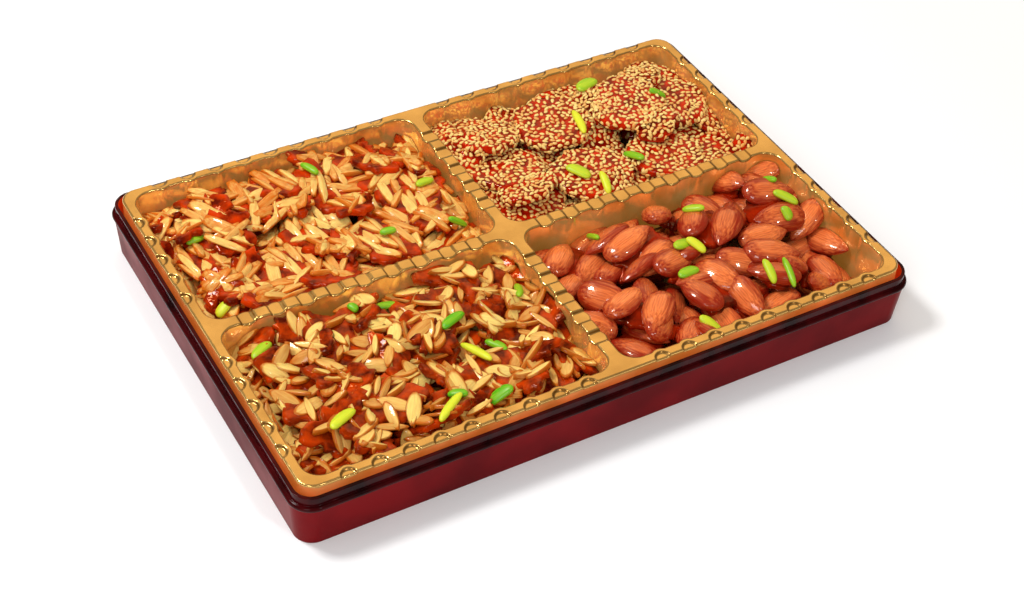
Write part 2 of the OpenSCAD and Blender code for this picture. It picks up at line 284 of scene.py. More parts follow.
@dataclass(frozen=True)
class StretchedFinish(Finish):
    """A finish whose relief runs in long marks.

    Attributes:
        stretch: How the relief's coordinates are scaled along X, Y and Z.
    """

    stretch: tuple[float, float, float] = (1.0, 1.0, 1.0)

    def relief(self, tree: NodeTree, place: NodeSocket) -> NodeSocket:
        """Draws the relief in coordinates that are stretched."""
        along = add_node(tree, "Mapping", {"Scale": self.stretch}, {"Vector": place})
        return super().relief(tree, along.outputs[0])


@dataclass(frozen=True)
class NotchedFinish(Finish):
    """A sheet's finish with painted shade in the thin creases round its notches.

    Attributes:
        crease_shade_mm: Half the width of the painted shade along the creases.
        crease_shade_share: How much the painted shade in the creases counts.
        patch_share: How much the patches count.
    """

    crease_shade_mm: float = 0.6
    crease_shade_share: float = 0.9
    patch_share: float = 0.3

    def share(self, tree: NodeTree, place: NodeSocket) -> NodeSocket:
        """Adds the painted shade in the creases to the patches."""
        to_notch = add_node(tree, "Attribute", {"attribute_name": TO_NOTCH}).outputs["Fac"]
        aside = add_node(tree, "Math", {"operation": "ABSOLUTE"}, {0: to_notch})
        crease_shade = add_node(
            tree,
            "MapRange",
            {"From Min": self.crease_shade_mm, "From Max": 0.0, "To Max": self.crease_shade_share},
            {"Value": aside.outputs[0]},
        )
        return add_node(
            tree,
            "Math",
            {"operation": "MULTIPLY_ADD", "use_clamp": True, 1: self.patch_share},
            {0: super().share(tree, place), 2: crease_shade.outputs[0]},
        ).outputs[0]


@dataclass(frozen=True)
class NutFinish(Finish):
    """A nut's finish, which follows the nut's own shape: a darker rim, and a tint of its own.
    The rim is a flake's skin; on a sliver it is partly caramel and partly painted shade, and on
    a seed or an almond it is painted shade.

    Attributes:
        rim: Where the deep colour starts and is full, as shares of the way to the rim.
        grain: How the nut's own coordinates are scaled for its grain.
        tint_share: How much the nut's own tint counts.
        grain_share: How much the grain counts.
    """

    rim: tuple[float, float] = (0.8, 1.05)
    grain: tuple[float, float, float] = (0.6, 4.0, 4.0)
    tint_share: float = 0.45
    grain_share: float = 0.35

    def lengthwise(self, tree: NodeTree) -> NodeSocket:
        """Grain that runs along the nut, from its own coordinates."""
        own = add_node(tree, "Attribute", {"attribute_name": OWN}).outputs["Vector"]
        along = add_node(tree, "Mapping", {"Scale": self.grain}, {"Vector": own})
        return add_node(
            tree, "TexNoise", {"Scale": 1.0, "Detail": 3.0}, {"Vector": along.outputs[0]}
        ).outputs[0]

    def share(self, tree: NodeTree, place: NodeSocket) -> NodeSocket:
        """Adds up the rim, which is skin or painted shade, the nut's tint and the grain."""
        own = add_node(tree, "Attribute", {"attribute_name": OWN}).outputs["Vector"]
        flat = add_node(
            tree, "VectorMath", {"operation": "MULTIPLY", 1: (1.0, 1.0, 0.0)}, {0: own}
        )
        far = add_node(tree, "VectorMath", {"operation": "LENGTH"}, {0: flat.outputs[0]})
        rim = add_node(
            tree,
            "MapRange",
            {"From Min": self.rim[0], "From Max": self.rim[1]},
            {"Value": far.outputs["Value"]},
        )
        tint = add_node(tree, "Attribute", {"attribute_name": TINT}).outputs["Fac"]
        tinted = add_node(tree, "Math", {"operation": "MULTIPLY", 1: self.tint_share}, {0: tint})
        grain = add_node(
            tree,
            "MapRange",
            {**GRAIN_SPAN, "To Max": self.grain_share},
            {"Value": self.lengthwise(tree)},
        )
        both = add_node(
            tree, "Math", {"operation": "ADD"}, {0: tinted.outputs[0], 1: grain.outputs[0]}
        )
        return add_node(
            tree,
            "Math",
            {"operation": "ADD", "use_clamp": True},
            {0: both.outputs[0], 1: rim.outputs[0]},
        ).outputs[0]

    def relief(self, tree: NodeTree, place: NodeSocket) -> NodeSocket:
        """The grain is raised too."""
        return self.lengthwise(tree)


# Injection-moulded polystyrene, tinted deep red: a smooth skin with faint upright marks.
RUBY = StretchedFinish(
    "moulded_ruby_polystyrene",
    "#780a10",
    "#5c060c",
    (0.28, 0.4),
    mottle_mm=30,
    relief_mm=0.02,
    relief_grain_mm=1.5,
    constants={"IOR": 1.2, "Specular IOR Level": 0.2},
    stretch=(1.0, 1.0, 0.08),
)
# The same plastic above the ledge, where it is seen edge on, with painted shade: nearly
# black, for how dark so much plastic looks there.
RUBY_PAINTED_SHADE = Finish(
    "moulded_ruby_polystyrene_painted_shade",
    "#42060a",
    "#1a0204",
    (0.08, 0.18),
    mottle_mm=12,
    relief_mm=0.05,
    relief_grain_mm=3,
    constants={"IOR": 1.25, "Specular IOR Level": 0.3},
)
# The same plastic on its inner faces, beside the gold sheet, painted brighter and given a glow:
# painted light for the light that entered it and comes out again.
RUBY_PAINTED_GLOW = Finish(
    "moulded_ruby_polystyrene_painted_glow",
    "#d4460c",
    "#a82a08",
    (0.2, 0.3),
    mottle_mm=12,
    relief_mm=0.03,
    relief_grain_mm=3,
    constants={
        "IOR": 1.3,
        "Specular IOR Level": 0.3,
        "Emission Color": linear("#c02c08"),
        "Emission Strength": 0.25,
    },
)
# Thermoformed PVC sheet with a vacuum-metallised gold face: satin, with soft waves, and painted
# shade in the creases round its notches.
GOLD = NotchedFinish(
    "metallised_gold_pvc_sheet",
    "#eec272",
    "#8c5c20",
    (0.16, 0.28),
    mottle_mm=14,
    relief_mm=0.6,
    relief_grain_mm=10,
    constants={"Metallic": 0.8},
)
# The same sheet on the pockets' walls, where it is drawn thin. It is painted paler and given a
# glow: painted light that brightens the walls and stands for the light that comes through it.
GOLD_PAINTED_LIGHT = Finish(
    "metallised_gold_pvc_sheet_painted_light",
    "#ffd68a",
    "#d89448",
    (0.12, 0.24),
    mottle_mm=16,
    relief_mm=0.5,
    relief_grain_mm=10,
    constants={
        "Metallic": 0.7,
        "Emission Color": linear("#cc8c34"),
        "Emission Strength": 0.22,
    },
)
SUGAR_CONSTANTS = {
    "IOR": 1.45,
    "Specular IOR Level": 0.4,
    "Specular Tint": linear("#ff9c58"),
    "Subsurface Weight": 0.2,
    "Subsurface Radius": (1.0, 0.2, 0.05),
    "Subsurface Scale": 0.002,
    "Coat Weight": 0.3,
    "Coat Roughness": 0.03,
}
# Boiled sugar and honey, poured and broken: glassy, with pits and drawn-out ridges. Each
# kind has its shade, pale and deep colour, shine, and the sizes of mottle, relief and grain.
SUGAR_SHADES = {
    Kind.SLIVERED: ("orange", "#cc3602", "#5e0a02", (0.06, 0.14), 6, 0.7, 4),
    Kind.SESAME: ("red", "#cc2202", "#720a02", (0.06, 0.14), 5, 0.5, 3),
    Kind.FLAKED: ("amber", "#c43c04", "#500a02", (0.06, 0.14), 6, 0.7, 4),
    Kind.ALMOND: ("dark", "#a42002", "#400602", (0.06, 0.18), 9, 0.4, 4),
}
SUGARS = {
    kind: Finish(f"boiled_honey_caramel_{shade}", *looks, constants=SUGAR_CONSTANTS)
    for kind, (shade, *looks) in SUGAR_SHADES.items()
}
GLAZED = {
    "IOR": 1.45,
    "Subsurface Weight": 0.15,
    "Subsurface Radius": (1.0, 0.4, 0.15),
    "Subsurface Scale": 0.0015,
    "Specular IOR Level": 0.5,
    "Specular Tint": linear("#ffd8a8"),
}
GLAZED_THINLY = {**GLAZED, "Coat Weight": 0.5, "Coat Roughness": 0.05}
# Blanched almond cut in slivers, glazed with caramel: waxy, with a fine lengthwise grain. Its
# darker orange edges are partly caramel and partly painted shade.
SLIVER_MEAT = NutFinish(
    "glazed_almond_sliver",
    "#ffdc7c",
    "#d46c10",
    (0.3, 0.42),
    mottle_mm=2,
    relief_mm=0.3,
    relief_grain_mm=0.5,
    constants=GLAZED_THINLY,
    rim=(0.88, 1.15),
    tint_share=0.7,
)
# Almond sliced with its skin on: a pale waxy face inside a thin tan rim.
FLAKE_MEAT = NutFinish(
    "glazed_almond_flake",
    "#ffde7c",
    "#c0620e",
    (0.28, 0.42),
    mottle_mm=2,
    relief_mm=0.3,
    relief_grain_mm=0.5,
    constants=GLAZED_THINLY,
    rim=(0.78, 1.0),
    grain=(0.9, 2.2, 2.2),
    tint_share=0.7,
    grain_share=0.25,
)
# Toasted hulled sesame: small smooth seeds with a satin face, a little deeper orange towards
# the outline: painted shade.
SESAME_SEED = NutFinish(
    "toasted_sesame_seed",
    "#ffe08c",
    "#dc7414",
    (0.25, 0.4),
    mottle_mm=1,
    relief_mm=0.05,
    relief_grain_mm=0.4,
    constants=GLAZED,
    rim=(0.9, 1.3),
    tint_share=0.6,
    grain_share=0.1,
)
# Whole almond in its ribbed skin under a coat of caramel: orange ribs and dark furrows. It is
# painted darker from its middle towards its outline: painted shade.
ALMOND_SKIN = NutFinish(
    "caramel_coated_almond_skin",
    "#ff8a48",
    "#9c200a",
    (0.18, 0.32),
    mottle_mm=3,
    relief_mm=0.35,
    relief_grain_mm=1,
    constants={**GLAZED, "Coat Weight": 0.8, "Coat Roughness": 0.04},
    rim=(0.5, 1.3),
    grain=(0.5, 7.0, 7.0),
    tint_share=0.45,
    grain_share=0.45,
)
# Raw pistachio cut in slivers: moist green meat that turns yellow inside.
PISTACHIO_MEAT = NutFinish(
    "cut_pistachio_meat",
    "#4fae10",
    "#dfe228",
    (0.3, 0.45),
    mottle_mm=2,
    relief_mm=0.1,
    relief_grain_mm=0.6,
    constants={"IOR": 1.45, "Subsurface Weight": 0.1, "Subsurface Scale": 0.001},
    rim=(1.5, 3.0),
    tint_share=0.9,
    grain_share=0.25,
)


# Making meshes and objects


def flat_way(angle: float, far: float = 1.0) -> Vector:
    """The flat way at an angle in radians, as long as it is far."""
    return Vector((far * math.cos(angle), far * math.sin(angle), 0))


def parts_of(made: Iterable, kind: type) -> list:
    """The vertices, or the edges, among the parts that an operator made."""
    return [part for part in made if isinstance(part, kind)]


def quarter_turns(first: int, steps: int) -> list[float]:
    """The angles of a quarter turn in equal steps, from the first one to a right angle."""
    return [k * math.pi / 2 / steps for k in range(first, steps + 1)]


def pairs_round(ring: list) -> list[tuple]:
    """Each member of a closed ring with the next one."""
    return list(zip(ring, ring[1:] + ring[:1]))


def mirror_quarter(bm: BMesh, touching: float) -> None:
    """Mirrors a quarter in X and in Y.

    Args:
        bm: The quarter, in millimetres.
        touching: How close two points are that become one.
    """
    for axis in ("X", "Y"):
        bmesh.ops.mirror(
            bm, geom=bm.verts[:] + bm.edges[:] + bm.faces[:], merge_dist=0.001, axis=axis
        )
    bmesh.ops.remove_doubles(bm, verts=bm.verts, dist=touching)


def lengthwise_ball(around: int, along: int) -> BMesh:
    """Makes a ball of radius one whose poles lie on the X axis.

    Args:
        around: How many faces it has round that axis.
        along: How many it has from pole to pole.

    Returns:
        The ball.
    """
    bm = bmesh.new()
    bmesh.ops.create_uvsphere(bm, u_segments=around, v_segments=along, radius=1)
    bmesh.ops.rotate(bm, matrix=Matrix.Rotation(math.pi / 2, 3, "Y"), verts=bm.verts)
    return bm


def bevel_folds(bm: BMesh, fold: float, offset: float, segments: int) -> None:
    """Rounds the edges of a mesh that are folded sharply.

    Args:
        bm: The mesh.
        fold: The angle, in degrees, from which an edge is rounded.
        offset: How far the rounding reaches.
        segments: How many strips it has.
    """
    bmesh.ops.bevel(
        bm,
        geom=[e for e in bm.edges if e.calc_face_angle(0) > math.radians(fold)],
        offset=offset,
        segments=segments,
        profile=0.5,
        affect="EDGES",
        material=-1,
    )


def settle(bm: BMesh) -> None:
    """Rounds a mesh's points and puts them and its faces in order, so that each run agrees.

    Mirroring, merging and bevelling leave points and faces in an order that follows from
    where they are in memory, and the order in which they are added up shows in a last digit.

    Args:
        bm: The mesh, in millimetres.
    """
    digits = 4
    for vert in bm.verts:
        vert.co = [round(c, digits) for c in vert.co]
    for number, vert in enumerate(sorted(bm.verts, key=lambda vert: tuple(vert.co))):
        vert.index = number
    bm.verts.sort()
    corners = [(sorted(vert.index for vert in face.verts), face) for face in bm.faces]
    for number, (_, face) in enumerate(sorted(corners, key=lambda pair: pair[0])):
        face.index = number
    bm.faces.sort()


def in_scene(name: str, data: ID) -> Object:
    """Makes an object that holds a mesh, a lamp or a camera, and puts it in the scene."""
    made = bpy.data.objects.new(name, data)
    bpy.context.scene.collection.objects.link(made)
    return made


def finished_mesh(bm: BMesh, name: str) -> Mesh:
    """Stores a mesh that is done, which is used up, with all its faces smooth."""
    for face in bm.faces:
        face.smooth = True
    mesh = bpy.data.meshes.new(name)
    bm.to_mesh(mesh)
    bm.free()
    return mesh


def to_object(bm: BMesh, name: str, finishes: Iterable[Finish], body: str) -> Object:
    """Turns a finished mesh into a piece that rides on a body.

    Args:
        bm: The mesh, in metres in the frame, which is used up.
        name: The piece's name.
        finishes: Its finishes, in the order of the mesh's material numbers.
        body: The body that it rides on.

    Returns:
        The new object, at the origin.
    """
    mesh = finished_mesh(bm, name)
    for finish in finishes:
        mesh.materials.append(finish.material())
    piece = in_scene(name, mesh)
    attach(piece, body)
    LOG.info("%s: %d faces, rides on %s", name, len(mesh.polygons), body)
    return piece


def keep_flats_flat(piece: Object) -> None:
    """Lets large faces keep their own normals, so that only the rounded edges shade round."""
    weighted = piece.modifiers.new("flats", "WEIGHTED_NORMAL")
    weighted.mode = "FACE_AREA"
    weighted.weight = 60


def merged_copy(cad: Object) -> BMesh:
    """A CAD node's mesh as a new mesh, with its loose triangles joined."""
    touching = MM / 500
    bm = bmesh.new()
    bm.from_mesh(cad.data)
    bmesh.ops.remove_doubles(bm, verts=bm.verts, dist=touching)
    return bm


def islands(bm: BMesh) -> list[list[BMFace]]:
    """Sorts a mesh's faces into groups that hang together, each in the order of the mesh."""
    bm.faces.index_update()
    left = set(bm.faces)
    groups = []
    for first in bm.faces:
        if first not in left:
            continue
        left.discard(first)
        group, edge = [first], [first]
        while edge:
            around = {near for face in edge for e in face.edges for near in e.link_faces}
            edge = [face for face in around if face in left]
            left.difference_update(edge)
            group += edge
        groups.append(sorted(group, key=lambda face: face.index))
    return groups


# The outer box


@dataclass
class OuterBox:
    """The ruby tray box: a drawn-in wall, a rounded ledge and an inset rim round a floor.

    Sizes are in millimetres; length, width and height come from the CAD node.
    """

    node: str = "outer_box"
    corner_radius: float = 10.0
    ledge_z: float = 18.6
    ledge_radius: float = 1.2
    ledge_out: float = 0.8
    wall_draft: float = 1.4
    rim_inset: float = 1.6
    wall: float = 1.5
    floor: float = 1.8
    softened: float = 0.22
    corner_steps: int = 20

    def section(self, height: float) -> list[tuple[float, float]]:
        """Draws the wall from under the floor, over the rim and back to the floor's top.

        Args:
            height: The box's height.

        Returns:
            Points as distance from the corner's middle, and height.
        """
        foot = self.corner_radius - self.ledge_out - self.wall_draft
        wall = self.corner_radius - self.ledge_out
        rim = self.corner_radius - self.rim_inset
        middle = (self.corner_radius - self.ledge_radius, self.ledge_z + self.ledge_radius)
        under = math.acos((wall - middle[0]) / self.ledge_radius)
        steps = 8
        turns = [-under + (under + math.pi / 2) * k / steps for k in range(steps + 1)]
        ledge = [
            (
                middle[0] + self.ledge_radius * math.cos(turn),
                middle[1] + self.ledge_radius * math.sin(turn),
            )
            for turn in turns
        ]
        return [
            (0, 0),
            (foot, 0),
            *ledge,
            (rim, self.ledge_z + 2 * self.ledge_radius),
            (rim, height),
            (rim - self.wall, height),
            (rim - self.wall, self.ledge_z),
            (foot - self.wall, self.floor),
            (0, self.floor),
        ]

    def build(self) -> Object:
        """Spins the section round a corner, draws it out to the middles and mirrors it."""
        low, high = (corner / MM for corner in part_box(self.node))
        middle = Vector((high.x - self.corner_radius, high.y - self.corner_radius, 0))
        bm = bmesh.new()
        points = [
            bm.verts.new(middle + Vector((far, 0, z))) for far, z in self.section(high.z - low.z)
        ]
        path = [bm.edges.new(pair) for pair in zip(points, points[1:])]
        turned = bmesh.ops.spin(
            bm,
            geom=points + path,
            cent=middle,
            axis=(0, 0, 1),
            angle=math.pi / 2,
            steps=self.corner_steps,
        )["geom_last"]
        for edges, way in (
            (path, Vector((0, -middle.y, 0))),
            (parts_of(turned, BMEdge), Vector((-middle.x, 0, 0))),
        ):
            drawn = bmesh.ops.extrude_edge_only(bm, edges=edges)["geom"]
            bmesh.ops.translate(bm, vec=way, verts=parts_of(drawn, BMVert))
        mirror_quarter(bm, touching=0.001)
        bmesh.ops.holes_fill(bm, edges=[e for e in bm.edges if e.is_boundary], sides=0)
        bmesh.ops.recalc_face_normals(bm, faces=bm.faces)
        bevel_folds(bm, 35, self.softened, segments=2)
        facing_in = -0.5
        for face in bm.faces:
            centre = face.calc_center_median()
            outwards = face.normal.xy.dot(centre.xy.normalized())
            # Faces above the ledge take the plastic with painted shade, nearly black.
            if centre.z > self.ledge_z:
                face.material_index = 1
            # Inward faces of the wall and rim take the plastic with a painted glow.
            if centre.z > 2 * self.floor and outwards < facing_in:
                face.material_index = 2
        settle(bm)
        bmesh.ops.scale(bm, vec=(MM, MM, MM), verts=bm.verts)
        finishes = [RUBY, RUBY_PAINTED_SHADE, RUBY_PAINTED_GLOW]
        piece = to_object(bm, "ruby_tray_box", finishes, "box")
        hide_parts(self.node)
        keep_flats_flat(piece)
        return piece


# The gold insert


@dataclass
class GoldInsert:
    """The formed gold sheet: a flat edge with notches, four fluted pockets and a lip.

    One pocket is drawn in the quarter where X and Y are positive, and then mirrored. Sizes
    are in millimetres; length, width and height come from the CAD node.
    """

    node: str = "gold_insert"
    sheet: float = 0.6
    lip: float = 8.0
    edge: float = 4.4
    divider: float = 6.0
    corner_radius: float = 6.9
    pocket_radius: float = 7.0
    fillet: float = 1.2
    floor_z: float = 2.7
    clear: float = 0.3
    notch_pitch: float = 12.6
    notch_radius: float = 3.1
    notch_depth: float = 0.8
    flute_radius: float = 4.6
    flute_out: float = 0.9
    softened: float = 0.8
    spacing: float = 0.9
    rim_spacing: float = 0.5
    corner_steps: int = 16

    def __post_init__(self) -> None:
        """Reads the sheet's outer sizes from the CAD node."""
        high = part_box(self.node)[1] / MM
        self.half = Vector((high.x, high.y))
        self.top = high.z
        self.pocket = Vector(side - self.divider / 2 - self.edge for side in (high.x, high.y))
        self.middle = Vector(self.divider / 2 + side / 2 for side in self.pocket)

    def room(self, inside: Vector) -> tuple[Vector, Vector, float]:
        """The room in the pocket that holds a point.

        Args:
            inside: The point, in metres.

        Returns:
            The room's lowest and highest corner, and the radius of its upright corners, in
            metres.
        """
        clear = Vector((self.clear, self.clear))
        near = self.middle - self.pocket / 2 + clear
        far = self.middle + self.pocket / 2 - clear
        sides = [
            sorted((math.copysign(near[k], inside[k]), math.copysign(far[k], inside[k])))
            for k in (0, 1)
        ]
        low, high = (Vector((sides[0][k], sides[1][k], 0)) for k in (0, 1))
        low.z, high.z = self.floor_z, 2 * self.top
        return low * MM, high * MM, (self.pocket_radius - self.clear) * MM

    def notches(self, axis: int) -> list[float]:
        """The middles of the notches along X or Y.

        Args:
            axis: 0 for X and 1 for Y.

        Returns:
            Places in the frame, in millimetres.
        """
        count = int((self.pocket[axis] - 2 * self.pocket_radius) // self.notch_pitch)
        return [
            self.middle[axis] + (n - (count - 1) / 2) * self.notch_pitch for n in range(count)
        ]

    def to_notch(self, x: float, y: float) -> float:
        """How far a point of the flat edge is from the nearest notch's outline.

        Args:
            x: Place along X.
            y: Place along Y.

        Returns:
            The distance in millimetres, which is negative inside the notch.
        """
        soft = 0.6
        nearest = math.inf
        for axis, along, across in ((0, x, y), (1, y, x)):
            to_rim = self.half[1 - axis] - across
            for notch in self.notches(axis):
                if across < self.divider / 2 + self.flute_out + soft:
                    nearest = min(nearest, abs(along - notch))
                else:
                    nearest = min(nearest, math.hypot(along - notch, to_rim))
        return nearest - self.notch_radius

    def height(self, x: float, y: float) -> float:
        """The height of the flat edge, which dips in the notches."""
        soft = 0.4
        share = max(0.0, min(1.0, 0.5 - self.to_notch(x, y) / (2 * soft)))
        return self.top - self.notch_depth * share * share * (3 - 2 * share)

    def outline(self) -> list[tuple[Vector, Vector, Vector, float]]:
        """Walks round the pocket.

        Returns:
            Points on the pocket's wall, the way out of the pocket there, the points out on
            the quarter's boundary that they belong to, and how far a flute stands in.
        """
        walk = []
        half = self.pocket / 2 - Vector((self.pocket_radius, self.pocket_radius))
        for turn in range(4):
            angle = turn * math.pi / 2
            out = Vector((round(math.cos(angle)), round(math.sin(angle))))
            side = Vector((-out.y, out.x))
            axis = 0 if out.x else 1
            reach = self.pocket[axis] / 2
            long_half = half[1 - axis]
            wide = self.edge - self.softened if sum(out) > 0 else self.divider / 2
            spacing = self.rim_spacing if sum(out) > 0 else self.spacing
            steps = round(2 * long_half / spacing)
            for k in range(steps):
                along = long_half * (2 * k / steps - 1)
                wall = self.middle + out * reach + side * along
                near = min(abs(wall[1 - axis] - notch) for notch in self.notches(1 - axis))
                bump = math.sqrt(max(0.0, self.flute_radius**2 - near**2)) - (
                    self.flute_radius - self.flute_out
                )
                walk.append((wall, out, wall + out * wide, max(0.0, bump)))
            next_wide = self.edge - self.softened if sum(side) > 0 else self.divider / 2
            centre = self.middle + out * half[axis] + side * half[1 - axis]
            far = Vector((self.pocket_radius + wide, self.pocket_radius + next_wide))
            turns = [k / self.corner_steps * math.pi / 2 for k in range(self.corner_steps)]
            turns = sorted({*turns, math.atan2(far.y, far.x)})
            outermost = sum(out) > 0 and sum(side) > 0
            rounded = self.corner_radius - self.softened if outermost else 0
            for angle in turns:
                way = out * math.cos(angle) + side * math.sin(angle)
                wall = centre + way * self.pocket_radius
                boundary = centre + way * self.to_boundary(angle, far, rounded)
                walk.append((wall, way, boundary, 0.0))
        return walk

    def to_boundary(self, angle: float, far: Vector, rounded: float) -> float:
        """How far a corner's boundary is from the pocket corner's middle.

        Args:
            angle: The way out, from the first side's.
            far: How far the two sides are.
            rounded: The boundary corner's radius.

        Returns:
            The distance along the way out.
        """
        way = Vector((math.cos(angle), math.sin(angle)))
        straight = min(far[k] / max(1e-9, way[k]) for k in (0, 1))
        inner = far - Vector((rounded, rounded))
        point = way * straight
        if rounded and point.x > inner.x and point.y > inner.y:
            across = way.dot(inner)
            return across + math.sqrt(across**2 - inner.length_squared + rounded**2)
        return straight

    def drawn_on(self, bm: BMesh, ring: list[BMVert], places: list[Vector]) -> list[BMVert]:
        """Extrudes a closed ring of points to new places.

        Args:
            bm: The mesh.
            ring: The points, in order.
            places: Where their copies go.

        Returns:
            The copies, in order.
        """
        edges = [bm.edges.get(pair) for pair in pairs_round(ring)]
        made = bmesh.ops.extrude_edge_only(bm, edges=edges)["geom"]
        new = set(parts_of(made, BMVert))
        copies = [
            next(end for e in vert.link_edges if (end := e.other_vert(vert)) in new)
            for vert in ring
        ]
        for vert, place in zip(copies, places):
            vert.co = place
        return copies

    def quarter(self) -> BMesh:
        """Draws one pocket with the flat edge round it, from the boundary inwards."""
        walk = self.outline()
        across = 8
        bm = bmesh.new()

        def on_top(share: float) -> list[Vector]:
            """The ring that is a share of the way from the boundary to the wall's edge."""
            places = []
            for wall, way, far, flute in walk:
                flat = far.lerp(wall + way * (self.softened - flute), share)
                places.append(Vector((flat.x, flat.y, self.height(flat.x, flat.y))))
            return places

        ring = [bm.verts.new(place) for place in on_top(0)]
        for pair in pairs_round(ring):
            bm.edges.new(pair)
        for k in range(1, across + 1):
            ring = self.drawn_on(bm, ring, on_top(k / across))
        heights = [vert.co.z for vert in ring]
        steps = 2
        # Down the wall, each row says how far out and up it is from the wall's own line,
        # its share of the way down, and the share of the flutes that is left.
        profile = [
            (self.softened * (1 - math.sin(turn)), -self.softened * (1 - math.cos(turn)), 0.0, 1.0)
            for turn in quarter_turns(1, steps)
        ]
        profile += [(0.0, -self.softened, 0.12, 0.75), (0.0, -self.softened, 0.35, 0.2)]
        profile += [
            (self.fillet * (math.cos(turn) - 1), self.fillet * (1 - math.sin(turn)), 1.0, 0.1)
            for turn in quarter_turns(0, steps)
        ]
        for out, up, down_share, flute_share in profile:
            places = []
            for (wall, way, _, flute), height in zip(walk, heights):
                flat = wall + way * (out - flute * flute_share)
                floor = self.floor_z + (up if down_share == 1 else 0)
                edge = height + (0 if down_share == 1 else up)
                z = edge + (floor - edge) * down_share
                places.append(Vector((flat.x, flat.y, z)))
            ring = self.drawn_on(bm, ring, places)
        bmesh.ops.contextual_create(bm, geom=[bm.edges.get(pair) for pair in pairs_round(ring)])
        return bm

    def build(self) -> Object:
        """Mirrors the quarter, turns the lip down and gives the sheet its thickness."""
        bm = self.quarter()
        mirror_quarter(bm, touching=0.005)
        self.turn_lip_down(bm)
        bmesh.ops.recalc_face_normals(bm, faces=bm.faces)
        facing_up = sum(f.normal.z * f.calc_area() for f in bm.faces)
        if facing_up < 0:
            bmesh.ops.reverse_faces(bm, faces=bm.faces)
        bmesh.ops.triangulate(bm, faces=[f for f in bm.faces if len(f.verts) > 4])
        bmesh.ops.solidify(bm, geom=bm.faces[:], thickness=self.sheet)
        to_notch = bm.verts.layers.float.new(TO_NOTCH)
        under_edge = self.top - 2 * self.notch_depth
        for vert in bm.verts:
            x, y = abs(vert.co.x), abs(vert.co.y)
            vert[to_notch] = self.to_notch(x, y) if vert.co.z > under_edge else self.notch_pitch
        # The pockets' walls take the sheet with painted light: paler and with a glow.
        for face in bm.faces:
            if self.floor_z + 2 * self.sheet < face.calc_center_median().z < under_edge:
                face.material_index = 1
        settle(bm)
        bmesh.ops.scale(bm, vec=(MM, MM, MM), verts=bm.verts)
        piece = to_object(bm, "gold_pocket_insert", [GOLD, GOLD_PAINTED_LIGHT], "insert")
        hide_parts(self.node)
        keep_flats_flat(piece)
        return piece

    def turn_lip_down(self, bm: BMesh) -> None:
        """Rounds the flat edge over and draws it down to the lip's lower end."""
        steps = 3
        inner = self.half - Vector((self.corner_radius, self.corner_radius))
        profile = [
            (self.softened * math.sin(turn), -self.softened * (1 - math.cos(turn)))
            for turn in quarter_turns(1, steps)
        ]
        profile.append((self.softened, None))
        edges = [e for e in bm.edges if e.is_boundary]
        first = {}
        for vert in {v for e in edges for v in e.verts}:
            flat = vert.co.xy
            held = Vector(max(-inner[k], min(inner[k], flat[k])) for k in (0, 1))
            first[vert] = (vert.co.copy(), (flat - held).normalized())
        for out, up in profile:
            made = bmesh.ops.extrude_edge_only(bm, edges=edges)["geom"]
            edges = [e for e in parts_of(made, BMEdge) if e.is_boundary]
            moved = {}
            for vert in parts_of(made, BMVert):
                origin = next(
                    first[end] for e in vert.link_edges if (end := e.other_vert(vert)) in first
                )
                start, way = origin
                flat = start.xy + way * out
                z = self.top - self.lip if up is None else start.z + up
                vert.co = (flat.x, flat.y, z)
                moved[vert] = origin
            first = moved


# Where the brittle lies


@dataclass(frozen=True)
class Seat:
    """Where a piece of brittle lies.

    Attributes:
        place: Takes the piece's own millimetres to the frame's metres. Its underside is at
            height zero and its nose points along X.
        rim: The angle and distance of each corner of its flat underside, in order.
    """

    place: Matrix
    rim: tuple[tuple[float, float], ...]

    def reach(self, angle: float) -> float:
        """How far the flat underside reaches at an angle.

        Args:
            angle: The angle from the nose, in radians.

        Returns:
            The distance from the middle, in millimetres.
        """
        full = 2 * math.pi
        corners = [*self.rim, (self.rim[0][0] + full, self.rim[0][1])]
        turn = (angle - corners[0][0]) % full + corners[0][0]
        for (first, near), (second, far) in zip(corners, corners[1:]):
            if turn <= second:
                opening = math.sin(second - first)
                spanned = near * math.sin(turn - first) + far * math.sin(second - turn)
                return near * far * opening / spanned
        return corners[-1][1]


def seat_of(group: list[BMFace]) -> Seat:
    """Works out how a CAD piece lies from its flat underside.

    Args:
        group: The faces of one closed CAD piece, in metres.

    Returns:
        The piece's seat.
    """
    # Faces belong to the underside if their normals agree and they lie at its level.
    facing_down, same_way, same_level = -0.9, 0.9995, MM / 50
    ground = max((f for f in group if f.normal.z < facing_down), key=lambda f: f.calc_area())
    level = ground.verts[0].co
    flat = [
        f
        for f in group
        if f.normal.dot(ground.normal) > same_way
        and abs((f.verts[0].co - level).dot(ground.normal)) < same_level
    ]
    whole = sum(f.calc_area() for f in flat)
    middle = sum((f.calc_center_median() * f.calc_area() for f in flat), Vector()) / whole
    edge = (v for f in flat for v in f.verts if not set(flat).issuperset(v.link_faces))
    outline = sorted({v.co.copy().freeze() for v in edge}, key=tuple)
    # Corners that are as far as each other are told apart by their place.
    nose = max(
        outline, key=lambda co: (round((co - middle).length / MM, 2), -round(co.x / MM, 1))
    )
    up = -ground.normal
    along = (nose - middle).normalized()
    across = up.cross(along)
    axes = Matrix((along, across, up)).transposed()
    rim = []
    for co in outline:
        own = axes.inverted() @ (co - middle) / MM
        rim.append((math.atan2(own.y, own.x), math.hypot(own.x, own.y)))
    place = Matrix.Translation(middle) @ axes.to_4x4() @ Matrix.Scale(MM, 4)
    return Seat(place, tuple(sorted(rim)))


def seats_of(cad: Object) -> list[Seat]:
    """The seats of all closed pieces in a CAD node."""
    bm = merged_copy(cad)
    bm.normal_update()
    seats = [seat_of(group) for group in islands(bm)]
    bm.free()
    return seats


